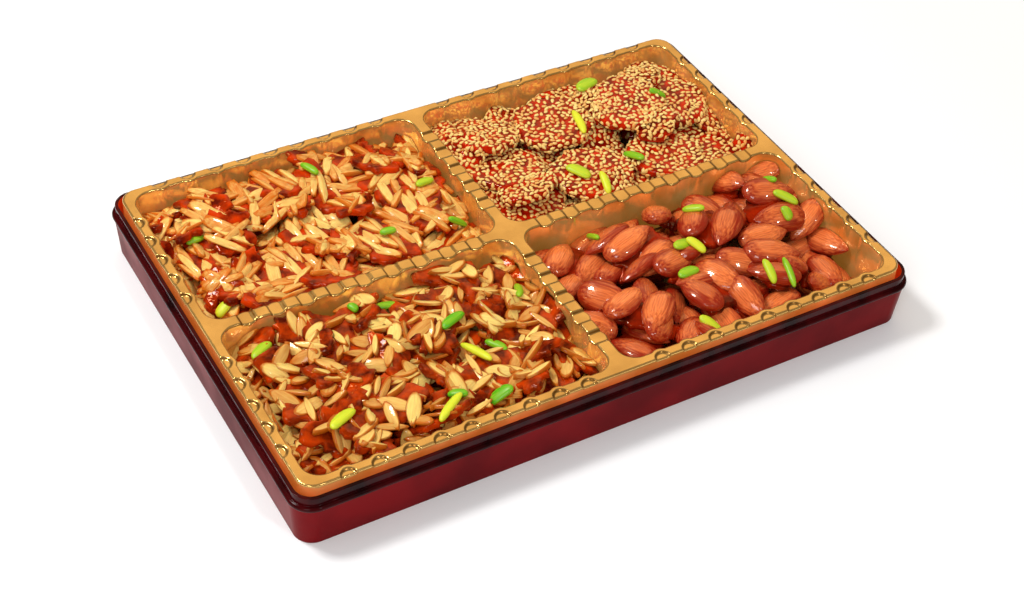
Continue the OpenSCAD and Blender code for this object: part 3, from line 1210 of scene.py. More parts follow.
# Nuts and seeds, drawn lengthwise along X around their middle


@dataclass(frozen=True)
class Nut:
    """A nut or seed with its length, width and thickness in millimetres."""

    length: float
    width: float
    thickness: float

    def drawn(self) -> BMesh:
        """Draws the shape. Each kind of nut has its own."""
        raise NotImplementedError

    def template(self) -> Mesh:
        """The shape as a mesh that also holds each point's place on the nut."""
        bm = self.drawn()
        own = bm.verts.layers.float_vector.new(OWN)
        bm.verts.layers.float.new(TINT)
        half = Vector((self.length / 2, self.width / 2, self.thickness / 2))
        for vert in bm.verts:
            vert[own] = Vector(c / h for c, h in zip(vert.co, half))
        return finished_mesh(bm, type(self).__name__)


@dataclass(frozen=True)
class Sliver(Nut):
    """A cut stick of almond with blunt, slightly narrower ends and a slight bend.

    Attributes:
        bend: How much lower its ends are.
        narrower: How much narrower the ends are, as a share.
        thinner: How much thinner the ends are, as a share.
    """

    bend: float = 0.5
    narrower: float = 0.28
    thinner: float = 0.35

    def drawn(self) -> BMesh:
        """Divides a cube lengthwise, tapers and bends it and rounds its edges."""
        bm = bmesh.new()
        bmesh.ops.create_cube(bm, size=1)
        long_edges = [e for e in bm.edges if abs(e.verts[0].co.x - e.verts[1].co.x) > 0.5]
        bmesh.ops.subdivide_edges(bm, edges=long_edges, cuts=3)
        for vert in bm.verts:
            out = abs(2 * vert.co.x)
            thickness = self.thickness * (1 - self.thinner * out**3)
            vert.co.y *= self.width * (1 - self.narrower * out**3)
            vert.co.z = vert.co.z * thickness - self.bend * out**2
            vert.co.x *= self.length
        bevel_folds(bm, 40, 0.3, segments=1)
        return bm


@dataclass(frozen=True)
class Flake(Nut):
    """A slice of almond: round at one end, pointed at the other, with a soft edge.

    Attributes:
        pointed: How much narrower its point is, as a share.
        soft: How far its soft edge reaches in.
        raised: How much its faces stand out.
    """

    pointed: float = 0.42
    soft: float = 0.35
    raised: float = 0.15

    def drawn(self) -> BMesh:
        """Draws a round face out to a slice and insets both its sides."""
        bm = bmesh.new()
        bmesh.ops.create_circle(bm, cap_ends=True, segments=16, radius=1)
        for vert in bm.verts:
            x, y, _ = vert.co
            taper = 1 - self.pointed * max(0.0, x) ** 1.3
            vert.co = (x * self.length / 2, y * taper * self.width / 2, 0)
        (face,) = bm.faces
        drawn = bmesh.ops.extrude_face_region(bm, geom=[face])["geom"]
        lifted = parts_of(drawn, BMVert)
        bmesh.ops.translate(bm, vec=(0, 0, self.thickness), verts=lifted)
        bmesh.ops.recalc_face_normals(bm, faces=bm.faces)
        for side in [f for f in bm.faces if abs(f.normal.z) > 0.9]:
            bmesh.ops.inset_region(bm, faces=[side], thickness=self.soft, depth=self.raised)
        bmesh.ops.translate(bm, vec=(0, 0, -self.thickness / 2), verts=bm.verts)
        return bm


@dataclass(frozen=True)
class Seed(Nut):
    """A sesame seed: a flat drop.

    Attributes:
        pointed: How much narrower its point is, as a share.
    """

    pointed: float = 0.4

    def drawn(self) -> BMesh:
        """Draws one end of a small ball to a point."""
        bm = lengthwise_ball(6, 4)
        for vert in bm.verts:
            x, y, z = vert.co
            taper = 1 - self.pointed * x
            aside, up = y * taper * self.width / 2, z * taper * self.thickness / 2
            vert.co = (x * self.length / 2, aside, up)
        return bm


@dataclass(frozen=True)
class WholeAlmond(Nut):
    """A whole almond in its skin, with its point along X and ribs along its length.

    Attributes:
        rib: Height of the ribs.
        ribs_round: How often the ribs change on the way round.
        lumpy: How much its girth strays, as a share.
        belly: Where it is widest, from -1 at the blunt end to 1 at the point.
        seed: Picks one of many slightly different almonds.
    """

    rib: float = 0.3
    ribs_round: float = 3.2
    lumpy: float = 0.05
    belly: float = -0.16
    seed: int = 0

    def girth(self, x: float) -> float:
        """How wide it is at a place along its length, as a share of its full width."""
        if x > self.belly:
            return max(0.0, 1 - ((x - self.belly) / (1 - self.belly)) ** 1.75) ** 0.8
        return max(0.0, 1 - ((self.belly - x) / (1 + self.belly)) ** 2.3) ** 0.5

    def drawn(self) -> BMesh:
        """Shapes a ball into an almond and raises its ribs, which fade at the ends."""
        bm = lengthwise_ball(36, 22)
        at_end, often = 0.001, self.ribs_round
        for vert in bm.verts:
            x, y, z = vert.co
            round_share = math.hypot(y, z)
            angle = math.atan2(z, y)
            aside, up = math.cos(angle), math.sin(angle)
            ribs = noise.noise(Vector((often * aside, often * up, 0.6 * x + 7.0 * self.seed)))
            lumps = noise.noise(Vector((1.5 * x, y, z + 5.0 * self.seed)))
            fade = min(1.0, 2.2 * round_share)
            grown = self.girth(x) * (1 + self.lumpy * lumps)
            grown += fade * ribs * self.rib * 2 / self.width
            if round_share < at_end:
                grown = 0
            aside, up = aside * grown * self.width / 2, up * grown * self.thickness / 2
            vert.co = (x * self.length / 2, aside, up)
        return bm


@dataclass(frozen=True)
class PistachioSliver(Nut):
    """A sliver cut from a pistachio: a bent, flattened spindle.

    Attributes:
        bend: How far its ends lie aside, as a share of its half width.
    """

    bend: float = 0.28

    def drawn(self) -> BMesh:
        """Flattens and bends a small ball and makes its ends blunter."""
        bm = lengthwise_ball(12, 9)
        for vert in bm.verts:
            x, y, z = vert.co
            full = (1 - abs(x) ** 3) ** 0.5 / max(0.05, (1 - x * x) ** 0.5)
            aside = (y * full + self.bend * (0.5 - x * x)) * self.width / 2
            up = math.copysign(abs(z) ** 0.8, z) * full * self.thickness / 2
            vert.co = (x * self.length / 2, aside, up)
        return bm


# Brittle


class Batch:
    """The mesh of one node's brittle while it is made, in metres in the frame.

    Material 0 is the caramel, 1 the nuts and 2 the pistachio.

    Attributes:
        bm: The mesh.
        ceiling: The height, in metres, above which nothing is set down.
    """

    def __init__(self, ceiling: float) -> None:
        """Starts with nothing."""
        self.bm = bmesh.new()
        self.ceiling = ceiling

    def add(self, template: Mesh, place: Matrix, slot: int, tint: float) -> None:
        """Sets one shape down.

        Args:
            template: The shape, in its own millimetres.
            place: Takes it to its place.
            slot: Its material number.
            tint: Its own tint, from 0 to 1.
        """
        first_vert, first_face = len(self.bm.verts), len(self.bm.faces)
        self.bm.from_mesh(template)
        self.bm.verts.ensure_lookup_table()
        self.bm.faces.ensure_lookup_table()
        tints = self.bm.verts.layers.float[TINT]
        verts = self.bm.verts[first_vert:]
        for vert in verts:
            vert.co = place @ vert.co
            vert[tints] = tint
        too_high = max(vert.co.z for vert in verts) - self.ceiling
        if too_high > 0:
            for vert in verts:
                vert.co.z -= too_high
        for face in self.bm.faces[first_face:]:
            face.material_index = slot

    def press_into(self, low: Vector, high: Vector, corner: float) -> None:
        """Presses whatever sticks out of a room back into it.

        Args:
            low: The room's lowest corner, in metres.
            high: The room's highest corner.
            corner: The radius of the room's upright corners.
        """
        inner = [(low[k] + corner, high[k] - corner) for k in (0, 1)]
        for vert in self.bm.verts:
            for axis in range(3):
                vert.co[axis] = min(max(vert.co[axis], low[axis]), high[axis])
            held = Vector([min(max(vert.co[k], inner[k][0]), inner[k][1]) for k in (0, 1)])
            out = vert.co.xy - held
            if out.length > corner:
                vert.co.xy = held + out.normalized() * corner

    def mesh(self, name: str) -> Mesh:
        """A copy of all that was set down, as a mesh."""
        mesh = bpy.data.meshes.new(name)
        self.bm.to_mesh(mesh)
        return mesh

    def take(self, other: "Batch") -> None:
        """Adds all of another batch, which is used up."""
        mesh = other.mesh("piece")
        other.bm.free()
        self.bm.from_mesh(mesh)
        bpy.data.meshes.remove(mesh)


def turned(x: float, y: float, z: float, turn: float, pitch: float, roll: float) -> Matrix:
    """A place in millimetres with its turn, pitch and roll in degrees, as a matrix."""
    return (
        Matrix.Translation((x, y, z))
        @ Matrix.Rotation(math.radians(turn), 4, "Z")
        @ Matrix.Rotation(math.radians(pitch), 4, "Y")
        @ Matrix.Rotation(math.radians(roll), 4, "X")
    )


def bumps(point: Vector, start: Vector, waves: Iterable[tuple[float, float]]) -> float:
    """Adds up noise of several sizes.

    Args:
        point: Where.
        start: Picks one of many noises.
        waves: The height of each size, and how often it changes per unit of length.

    Returns:
        The noise at that point.
    """
    return sum(height * noise.noise(point * often + start) for height, often in waves)


def spread(
    rng: random.Random, seat: Seat, count: int, share: float, squash: float = 1.0
) -> list[Vector]:
    """Spreads points evenly but not regularly over a piece.

    Args:
        rng: The source of chance.
        seat: The piece's seat.
        count: How many points.
        share: How far towards the outline they may lie.
        squash: How much closer they may come along Y than along X.

    Returns:
        The points in the piece's own millimetres.
    """
    tries = 14
    chosen: list[Vector] = []
    for _ in range(count):
        best, best_gap = Vector(), -1.0
        for _ in range(tries):
            angle = rng.uniform(-math.pi, math.pi)
            far = share * seat.reach(angle) * math.sqrt(rng.random())
            point = flat_way(angle, far)
            gap = min(
                (math.hypot(point.x - p.x, (point.y - p.y) / squash) for p in chosen),
                default=1e9,
            )
            if gap > best_gap:
                best, best_gap = point, gap
        chosen.append(best)
    return chosen


@dataclass(frozen=True)
class Wafer:
    """A flat lump of boiled sugar.

    Attributes:
        low: Height of its lower face.
        high: Height of its upper face.
        edge: How far its rim bulges out past its flat underside.
        ragged: How far its outline strays in and out.
        wavy: How far its faces rise and fall.
        dome: How much higher its middle is.
        oval: How much longer and narrower than its seat it may be.
        rim_waves: The noise of its outline, round it.
        face_waves: The noise of its faces, per millimetre.
    """

    low: float
    high: float
    edge: float
    ragged: float
    wavy: float
    dome: float = 0.0
    oval: float = 0.0
    rim_waves: tuple[tuple[float, float], ...] = ((1.3, 1.6), (0.6, 5.3))
    face_waves: tuple[tuple[float, float], ...] = ((1.0, 0.16), (0.6, 0.45))

    def template(self, seat: Seat, rng: random.Random, grown: float = 0.0) -> Mesh:
        """Flattens a ball into the lump that fits a seat.

        Args:
            seat: The piece's seat.
            rng: The source of chance.
            grown: How much wider than its seat the lump is, all round.

        Returns:
            The lump's mesh, in the piece's own millimetres.
        """
        bm = bmesh.new()
        bmesh.ops.create_uvsphere(bm, u_segments=40, v_segments=20, radius=1)
        own = bm.verts.layers.float_vector.new(OWN)
        bm.verts.layers.float.new(TINT)
        start = Vector(rng.uniform(0, 100) for _ in range(3))
        rim_share, wavy_under = 0.36, 0.4
        half = (self.high - self.low) / 2
        oval, longest = rng.uniform(0.3, 1) * self.oval, rng.uniform(0, math.pi)
        for vert in bm.verts:
            x, y, z = vert.co
            angle = math.atan2(y, x)
            rise = math.asin(max(-1.0, min(1.0, z))) / (math.pi / 2)
            out = abs(rise)
            inner = seat.reach(angle) + grown + oval * math.cos(2 * (angle - longest))
            if out < rim_share:
                bulge = out / rim_share * math.pi / 2
                far = inner + self.edge * math.cos(bulge)
                height = half * math.sin(bulge)
            else:
                far = inner * (1 - out) / (1 - rim_share)
                height = half
            side = flat_way(angle)
            broken = bumps(side, start, self.rim_waves)
            far = max(0.0, far + self.ragged * broken * min(1.0, far / max(0.1, inner)))
            point = side * far
            swell = bumps(point, start, self.face_waves)
            middle = max(0.0, 1 - (far / inner) ** 2)
            if rise > 0:
                height += out * (self.wavy * swell + self.dome * middle)
            else:
                height = -height + out * self.wavy * wavy_under * swell
            vert.co = point + Vector((0, 0, (self.low + self.high) / 2 + height))
            vert[own] = (0, 0, 0)
        return finished_mesh(bm, "wafer")


@dataclass(frozen=True)
class NutSlab:
    """A broken slab of brittle that is covered with slivers or flakes of almond.

    Attributes:
        nut: The nut that covers it.
        lump: Its caramel.
        top: Height of the nuts' middles on top.
        counts: How many nuts it has on top, around and underneath.
        lean: The greatest pitch and roll of a nut on top.
        astray: Share of nuts that lie across the others.
        spare: How far a nut's end may stick out past the caramel.
        widths: The nuts' widths, as shares of the usual nut's.
        sunk: How deep the nuts round the edge sit in the caramel.
        under_z: Height of the nuts underneath, above the caramel's lower face.
        stray: How far nuts turn from the main way, on top and underneath, in degrees.
        share: How far towards the outline they lie, on top and underneath.
    """

    nut: Nut
    lump: Wafer
    top: float
    counts: tuple[int, int, int]
    lean: tuple[float, float]
    astray: float
    spare: float
    widths: tuple[float, ...] = (0.8, 1.0, 1.3)
    sunk: float = 0.6
    under_z: float = 0.35
    stray: tuple[float, float] = (16, 30)
    share: tuple[float, float] = (0.95, 0.8)

    def kept_inside(self, seat: Seat, point: Vector, turn: float) -> Vector:
        """Draws a nut in until its ends no longer stick out of the piece.

        Args:
            seat: The piece's seat.
            point: The nut's middle.
            turn: The nut's turn, in degrees.

        Returns:
            Its new middle.
        """
        half = self.nut.length / 2 * flat_way(math.radians(turn))
        # Each try brings it nearer to the seat's middle by this share.
        tries, nearer = 12, 0.88
        for _ in range(tries):
            ends = [point + half, point - half]
            room = [seat.reach(math.atan2(end.y, end.x)) + self.spare for end in ends]
            if all(end.length < free for end, free in zip(ends, room)):
                break
            point = point * nearer
        return point

    def fill(self, batch: Batch, seat: Seat, layer: Layer, rng: random.Random) -> None:
        """Makes one slab: its caramel, then nuts on top, round the edge and underneath.

        Args:
            batch: Takes the slab.
            seat: Where the slab lies.
            layer: Whether it shows.
            rng: The source of chance.
        """
        grown = LOWER_GROWN if layer is Layer.LOWER else 0.0
        batch.add(self.lump.template(seat, rng, grown), seat.place, 0, 0)
        shapes = [
            replace(self.nut, width=self.nut.width * share, thickness=self.nut.thickness / share)
            for share in self.widths
        ]
        shapes = [shape.template() for shape in shapes]
        on_top, around, under = self.counts
        if layer is not Layer.SHOWN:
            around, under = 0, 0
        main = rng.uniform(0, 180)
        for point in spread(rng, seat, on_top, self.share[0]):
            turn = main + rng.gauss(0, self.stray[0])
            if rng.random() < self.astray:
                turn += rng.uniform(50, 130)
            point = self.kept_inside(seat, point, turn)
            place = turned(
                point.x,
                point.y,
                self.top + rng.uniform(-0.3, 0.5),
                turn + rng.choice((0, 180)),
                rng.uniform(-1, 1) * self.lean[0],
                rng.uniform(-1, 1) * self.lean[1],
            )
            cut = Matrix.Diagonal((rng.uniform(0.75, 1.15), rng.uniform(0.9, 1.15), 1, 1))
            batch.add(rng.choice(shapes), seat.place @ place @ cut, 1, rng.random())
        for n in range(around):
            angle = 2 * math.pi * (n + rng.uniform(-0.3, 0.3)) / max(1, around)
            far = seat.reach(angle) - self.sunk
            place = turned(
                far * math.cos(angle),
                far * math.sin(angle),
                (self.lump.low + self.lump.high) / 2 + rng.uniform(-0.4, 0.6),
                math.degrees(angle) + 90 + rng.uniform(-25, 25),
                rng.uniform(-8, 8),
                rng.uniform(-60, 60),
            )
            batch.add(rng.choice(shapes), seat.place @ place, 1, rng.random())
        for point in spread(rng, seat, under, self.share[1]):
            turn = main + rng.gauss(0, self.stray[1])
            point = self.kept_inside(seat, point, turn)
            place = turned(point.x, point.y, self.lump.low + self.under_z, turn, 0, 0)
            batch.add(rng.choice(shapes), seat.place @ place, 1, rng.random())


@dataclass(frozen=True)
class SesameDisc:
    """A round disc of caramel that is covered with sesame.

    Attributes:
        lump: Its caramel.
        seed: A sesame seed.
        spacing: How close two seeds may lie.
        sparser: How much farther apart they lie in the lower layer.
        grown: How much wider than its seat a disc that shows is.
        throws: How many seeds are thrown on a face.
        rows: Where the rows of seeds round the edge lie, as shares of half the thickness.
        proud: How far a seed's middle stands out of the caramel.
    """

    lump: Wafer
    seed: Nut
    spacing: float
    grown: float
    sparser: float = 1.5
    throws: int = 1600
    rows: tuple[float, ...] = (-0.35, 0.45)
    proud: float = 0.15

    def scattered(self, radius: float, spacing: float, rng: random.Random) -> list[Vector]:
        """Throws seeds on a round face and keeps those that find room.

        Args:
            radius: The face's radius.
            spacing: How close two seeds may lie.
            rng: The source of chance.

        Returns:
            Where they lie.
        """
        taken: dict[tuple[int, int], list[Vector]] = defaultdict(list)
        kept = []
        for _ in range(self.throws):
            angle = rng.uniform(-math.pi, math.pi)
            far = radius * math.sqrt(rng.random())
            point = flat_way(angle, far)
            i, j = int(point.x // spacing), int(point.y // spacing)
            near = (p for a in (-1, 0, 1) for b in (-1, 0, 1) for p in taken[i + a, j + b])
            if all((p - point).length > spacing for p in near):
                taken[i, j].append(point)
                kept.append(point)
        return kept

    def fill(self, batch: Batch, seat: Seat, layer: Layer, rng: random.Random) -> None:
        """Makes one disc and drops seeds on it from above, from below and from all round.

        Args:
            batch: Takes the disc.
            seat: Where the disc lies.
            layer: Whether it shows.
            rng: The source of chance.
        """
        grown = LOWER_GROWN if layer is Layer.LOWER else self.grown
        lump = self.lump.template(seat, rng, grown)
        batch.add(lump, seat.place, 0, 0)
        bm = bmesh.new()
        bm.from_mesh(lump)
        tree = BVHTree.FromBMesh(bm)
        bm.free()
        shape = self.seed.template()
        flat = sum(far for _, far in seat.rim) / len(seat.rim) + grown
        away = 2 * flat
        spacing = self.spacing * (self.sparser if layer is Layer.LOWER else 1)
        lines = [
            (point + Vector((0, 0, away)), Vector((0, 0, -1)))
            for point in self.scattered(flat + self.lump.ragged, spacing, rng)
        ]
        if layer is Layer.SHOWN:
            lines += [
                (point - Vector((0, 0, away)), Vector((0, 0, 1)))
                for point in self.scattered(flat + self.lump.ragged, spacing, rng)
            ]
        thick = self.lump.high - self.lump.low
        # The seeds in the rows round the edge lie this much farther apart.
        wider_apart = 1.7
        around = int(2 * math.pi * flat / (spacing * wider_apart))
        for row in self.rows:
            for n in range(around):
                angle = 2 * math.pi * (n + row + rng.uniform(-0.4, 0.4)) / around
                side = flat_way(angle)
                height = self.lump.low + thick * (0.5 + row / 2 + rng.uniform(-0.08, 0.08))
                lines.append((side * away + Vector((0, 0, height)), -side))
        # A seed from above or below stays only where the face's normal rises at least this.
        steep = 0.6
        for start, way in lines:
            spot, normal, *_ = tree.ray_cast(start, way)
            from_the_side = way.z == 0
            if spot is None or (abs(normal.z) < steep and not from_the_side):
                continue
            place = (
                Matrix.Translation(spot + normal * self.proud)
                @ normal.to_track_quat("Z", "X").to_matrix().to_4x4()
                @ Matrix.Rotation(rng.uniform(0, 2 * math.pi), 4, "Z")
                @ Matrix.Rotation(math.radians(rng.uniform(-16, 16)), 4, "Y")
            )
            batch.add(shape, seat.place @ place, 1, rng.random() ** 1.5)


@dataclass(frozen=True)
class AlmondCluster:
    """One or two whole almonds that stick in a lump of caramel.

    Attributes:
        lump: Its caramel.
        almond: The usual almond.
        middle_z: Height of the almonds' middles.
        grown: How much wider than its seat the caramel is where the piece shows.
        twin_share: How wide a seat that holds two almonds is, as a share of its length.
    """

    lump: Wafer
    almond: WholeAlmond
    middle_z: float
    grown: float = -2.0
    twin_share: float = 0.8

    def fill(self, batch: Batch, seat: Seat, layer: Layer, rng: random.Random) -> None:
        """Makes one cluster.

        Args:
            batch: Takes the cluster.
            seat: Where the cluster lies.
            layer: Whether it shows.
            rng: The source of chance.
        """
        grown = LOWER_GROWN if layer is Layer.LOWER else self.grown
        batch.add(self.lump.template(seat, rng, grown), seat.place, 0, 0)
        wide = min(seat.reach(math.pi / 2), seat.reach(-math.pi / 2))
        count = 2 if wide > self.twin_share * seat.reach(0) else 1
        for n in range(1, count + 1):
            size = rng.uniform(0.92, 1.04)
            shape = WholeAlmond(
                self.almond.length * size,
                self.almond.width * size,
                self.almond.thickness,
                seed=rng.randrange(1000),
            ).template()
            place = turned(
                rng.uniform(-1.5, 1.5),
                (n - (count + 1) / 2) * self.almond.width,
                self.middle_z,
                180 * (n % 2) + rng.uniform(-13, 13),
                rng.uniform(-8, 8),
                rng.uniform(-22, 22),
            )
            batch.add(shape, seat.place @ place, 1, rng.random())


# Height up to which the brittle is piled, in millimetres; pistachio may lie on it.
PILE_TOP = 29.4
# How much wider the lumps of the lower layer are than their seats, so that they meet.
LOWER_GROWN = 3.0
BRITTLES = {
    Kind.SLIVERED: NutSlab(
        nut=Sliver(17.0, 3.8, 1.9),
        lump=Wafer(low=0.5, high=3.5, edge=1.0, ragged=5.5, wavy=0.9, oval=3.0),
        top=3.4,
        counts=(12, 7, 5),
        lean=(12, 30),
        astray=0.35,
        spare=3.5,
    ),
    Kind.FLAKED: NutSlab(
        nut=Flake(13.5, 5.4, 1.0),
        lump=Wafer(low=0.5, high=3.5, edge=1.0, ragged=5.0, wavy=1.0, oval=3.0),
        top=3.7,
        counts=(10, 7, 4),
        lean=(20, 38),
        astray=0.6,
        spare=2.5,
        widths=(0.5, 0.85, 1.1),
    ),
    Kind.SESAME: SesameDisc(
        lump=Wafer(low=0.5, high=4.2, edge=1.3, ragged=2.2, wavy=0.7, oval=1.8),
        seed=Seed(2.7, 1.7, 1.0),
        spacing=1.95,
        grown=1.0,
    ),
    Kind.ALMOND: AlmondCluster(
        lump=Wafer(low=0.0, high=2.6, edge=0.8, ragged=3.0, wavy=0.8, dome=2.6, oval=1.5),
        almond=WholeAlmond(24.0, 13.6, 7.4),
        middle_z=4.1,
    ),
}
NUT_FINISHES = {
    Kind.SLIVERED: SLIVER_MEAT,
    Kind.SESAME: SESAME_SEED,
    Kind.FLAKED: FLAKE_MEAT,
    Kind.ALMOND: ALMOND_SKIN,
}


@dataclass
class Pocketful:
    """All brittle of one kind, a batch for each node."""

    kind: Kind
    insert: GoldInsert
    batches: dict[str, Batch] = field(default_factory=dict)

    def make(self, nodes: dict[str, Object]) -> None:
        """Makes the brittle of every node of this kind.

        Args:
            nodes: The CAD nodes by name.
        """
        brittle = BRITTLES[self.kind]
        spare = 0.7
        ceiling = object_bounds()[1][2] + spare * MM
        for name in sorted(nodes):
            if not name.startswith(self.kind.value):
                continue
            layer = Layer.LOWER if "lower" in name else Layer.SHOWN
            batch = self.batches[name] = Batch(ceiling)
            for number, seat in enumerate(seats_of(nodes[name])):
                piece = Batch(PILE_TOP * MM)
                brittle.fill(piece, seat, layer, random.Random(f"{name} {number}"))
                piece.press_into(*self.insert.room(seat.place.translation))
                batch.take(piece)

    def finish(self, nodes: dict[str, Object]) -> None:
        """Turns the batches into pieces that replace their nodes.

        Args:
            nodes: The CAD nodes by name.
        """
        finishes = [SUGARS[self.kind], NUT_FINISHES[self.kind], PISTACHIO_MEAT]
        for name, batch in self.batches.items():
            body = nodes[name]["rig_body"]
            piece = to_object(
                batch.bm, f"{name}_brittle", finishes, body
            )
            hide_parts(name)


@dataclass(frozen=True)
class Crumbs:
    """Small shards of the same brittle that lie in the gaps between a pocket's pieces.

    Attributes:
        brittle: How a shard is made.
        radius: The least and greatest radius of a shard.
        apart: The least distance between two shards.
        deep: How much lower than its surroundings a gap is.
        lean: The greatest pitch and roll of a shard.
        step: How close the grid's points are.
        round_it: How far away a point's surroundings are.
    """

    brittle: NutSlab | SesameDisc | AlmondCluster
    radius: tuple[float, float]
    apart: float
    deep: float
    lean: tuple[float, float]
    step: float = 3.5
    round_it: float = 9.0

    def lay(self, pocketful: Pocketful) -> None:
        """Looks for gaps at the points of a grid and lays a shard in each.

        Args:
            pocketful: The pieces of one pocket. Its lower layer takes the shards.
        """
        home = pocketful.batches[f"{pocketful.kind.value}_lower_layer"]
        whole = Batch(home.ceiling)
        for batch in pocketful.batches.values():
            mesh = batch.mesh("whole")
            whole.bm.from_mesh(mesh)
            bpy.data.meshes.remove(mesh)
        tree = BVHTree.FromBMesh(whole.bm)
        whole.bm.free()
        rng = random.Random(f"crumbs {pocketful.kind.value}")
        low, high, corner = pocketful.insert.room(next(iter(home.bm.verts)).co)
        laid: list[Vector] = []

        def top(x: float, y: float) -> float:
            """The height of what is topmost at a place, in millimetres."""
            hit = tree.ray_cast(Vector((x * MM, y * MM, 1)), Vector((0, 0, -1)))[0]
            return hit.z / MM if hit else low.z / MM

        corners = 8
        turns = [2 * math.pi * k / corners for k in range(corners)]
        ways = [(self.round_it * math.cos(turn), self.round_it * math.sin(turn)) for turn in turns]
        across, up = (int((high[k] - low[k]) / MM / self.step) for k in (0, 1))
        gaps = []
        for i, j in ((i, j) for i in range(1, across) for j in range(1, up)):
            x, y = low.x / MM + i * self.step, low.y / MM + j * self.step
            beside = sorted(top(x + out, y + aside) for out, aside in ways)
            here = top(x, y)
            gaps.append((beside[corners // 2 + 1] - here, x, y, here))
        for depth, x, y, here in sorted(gaps, reverse=True):
            spot = Vector((x, y))
            if depth < self.deep or any((spot - p).length < self.apart for p in laid):
                continue
            laid.append(spot)
            radius = rng.uniform(*self.radius)
            place = Matrix.Scale(MM, 4) @ turned(
                x,
                y,
                here + depth / 2,
                rng.uniform(0, 360),
                rng.uniform(-1, 1) * self.lean[0],
                rng.uniform(-1, 1) * self.lean[1],
            )
            rim = tuple((turn - math.pi, radius * rng.uniform(0.85, 1.15)) for turn in turns)
            piece = Batch(PILE_TOP * MM)
            self.brittle.fill(piece, Seat(place, rim), Layer.SHARD, rng)
            piece.press_into(low, high, corner)
            home.take(piece)
        LOG.info("%d shards in the %s pocket", len(laid), pocketful.kind.value)


CRUMBS = {
    Kind.SLIVERED: Crumbs(
        brittle=replace(BRITTLES[Kind.SLIVERED], counts=(6, 0, 0), spare=2.0),
        radius=(7.0, 10.0),
        apart=8.0,
        deep=2.5,
        lean=(28, 20),
    ),
    Kind.FLAKED: Crumbs(
        brittle=replace(BRITTLES[Kind.FLAKED], counts=(5, 0, 0), spare=2.0),
        radius=(7.0, 10.0),
        apart=8.5,
        deep=2.5,
        lean=(30, 25),
    ),
    Kind.SESAME: Crumbs(
        brittle=BRITTLES[Kind.SESAME],
        radius=(8.0, 11.0),
        apart=16.0,
        deep=5.5,
        lean=(25, 25),
    ),
    Kind.ALMOND: Crumbs(
        brittle=BRITTLES[Kind.ALMOND],
        radius=(6.0, 8.0),
        apart=15.0,
        deep=4.5,
        lean=(30, 40),
    ),
}


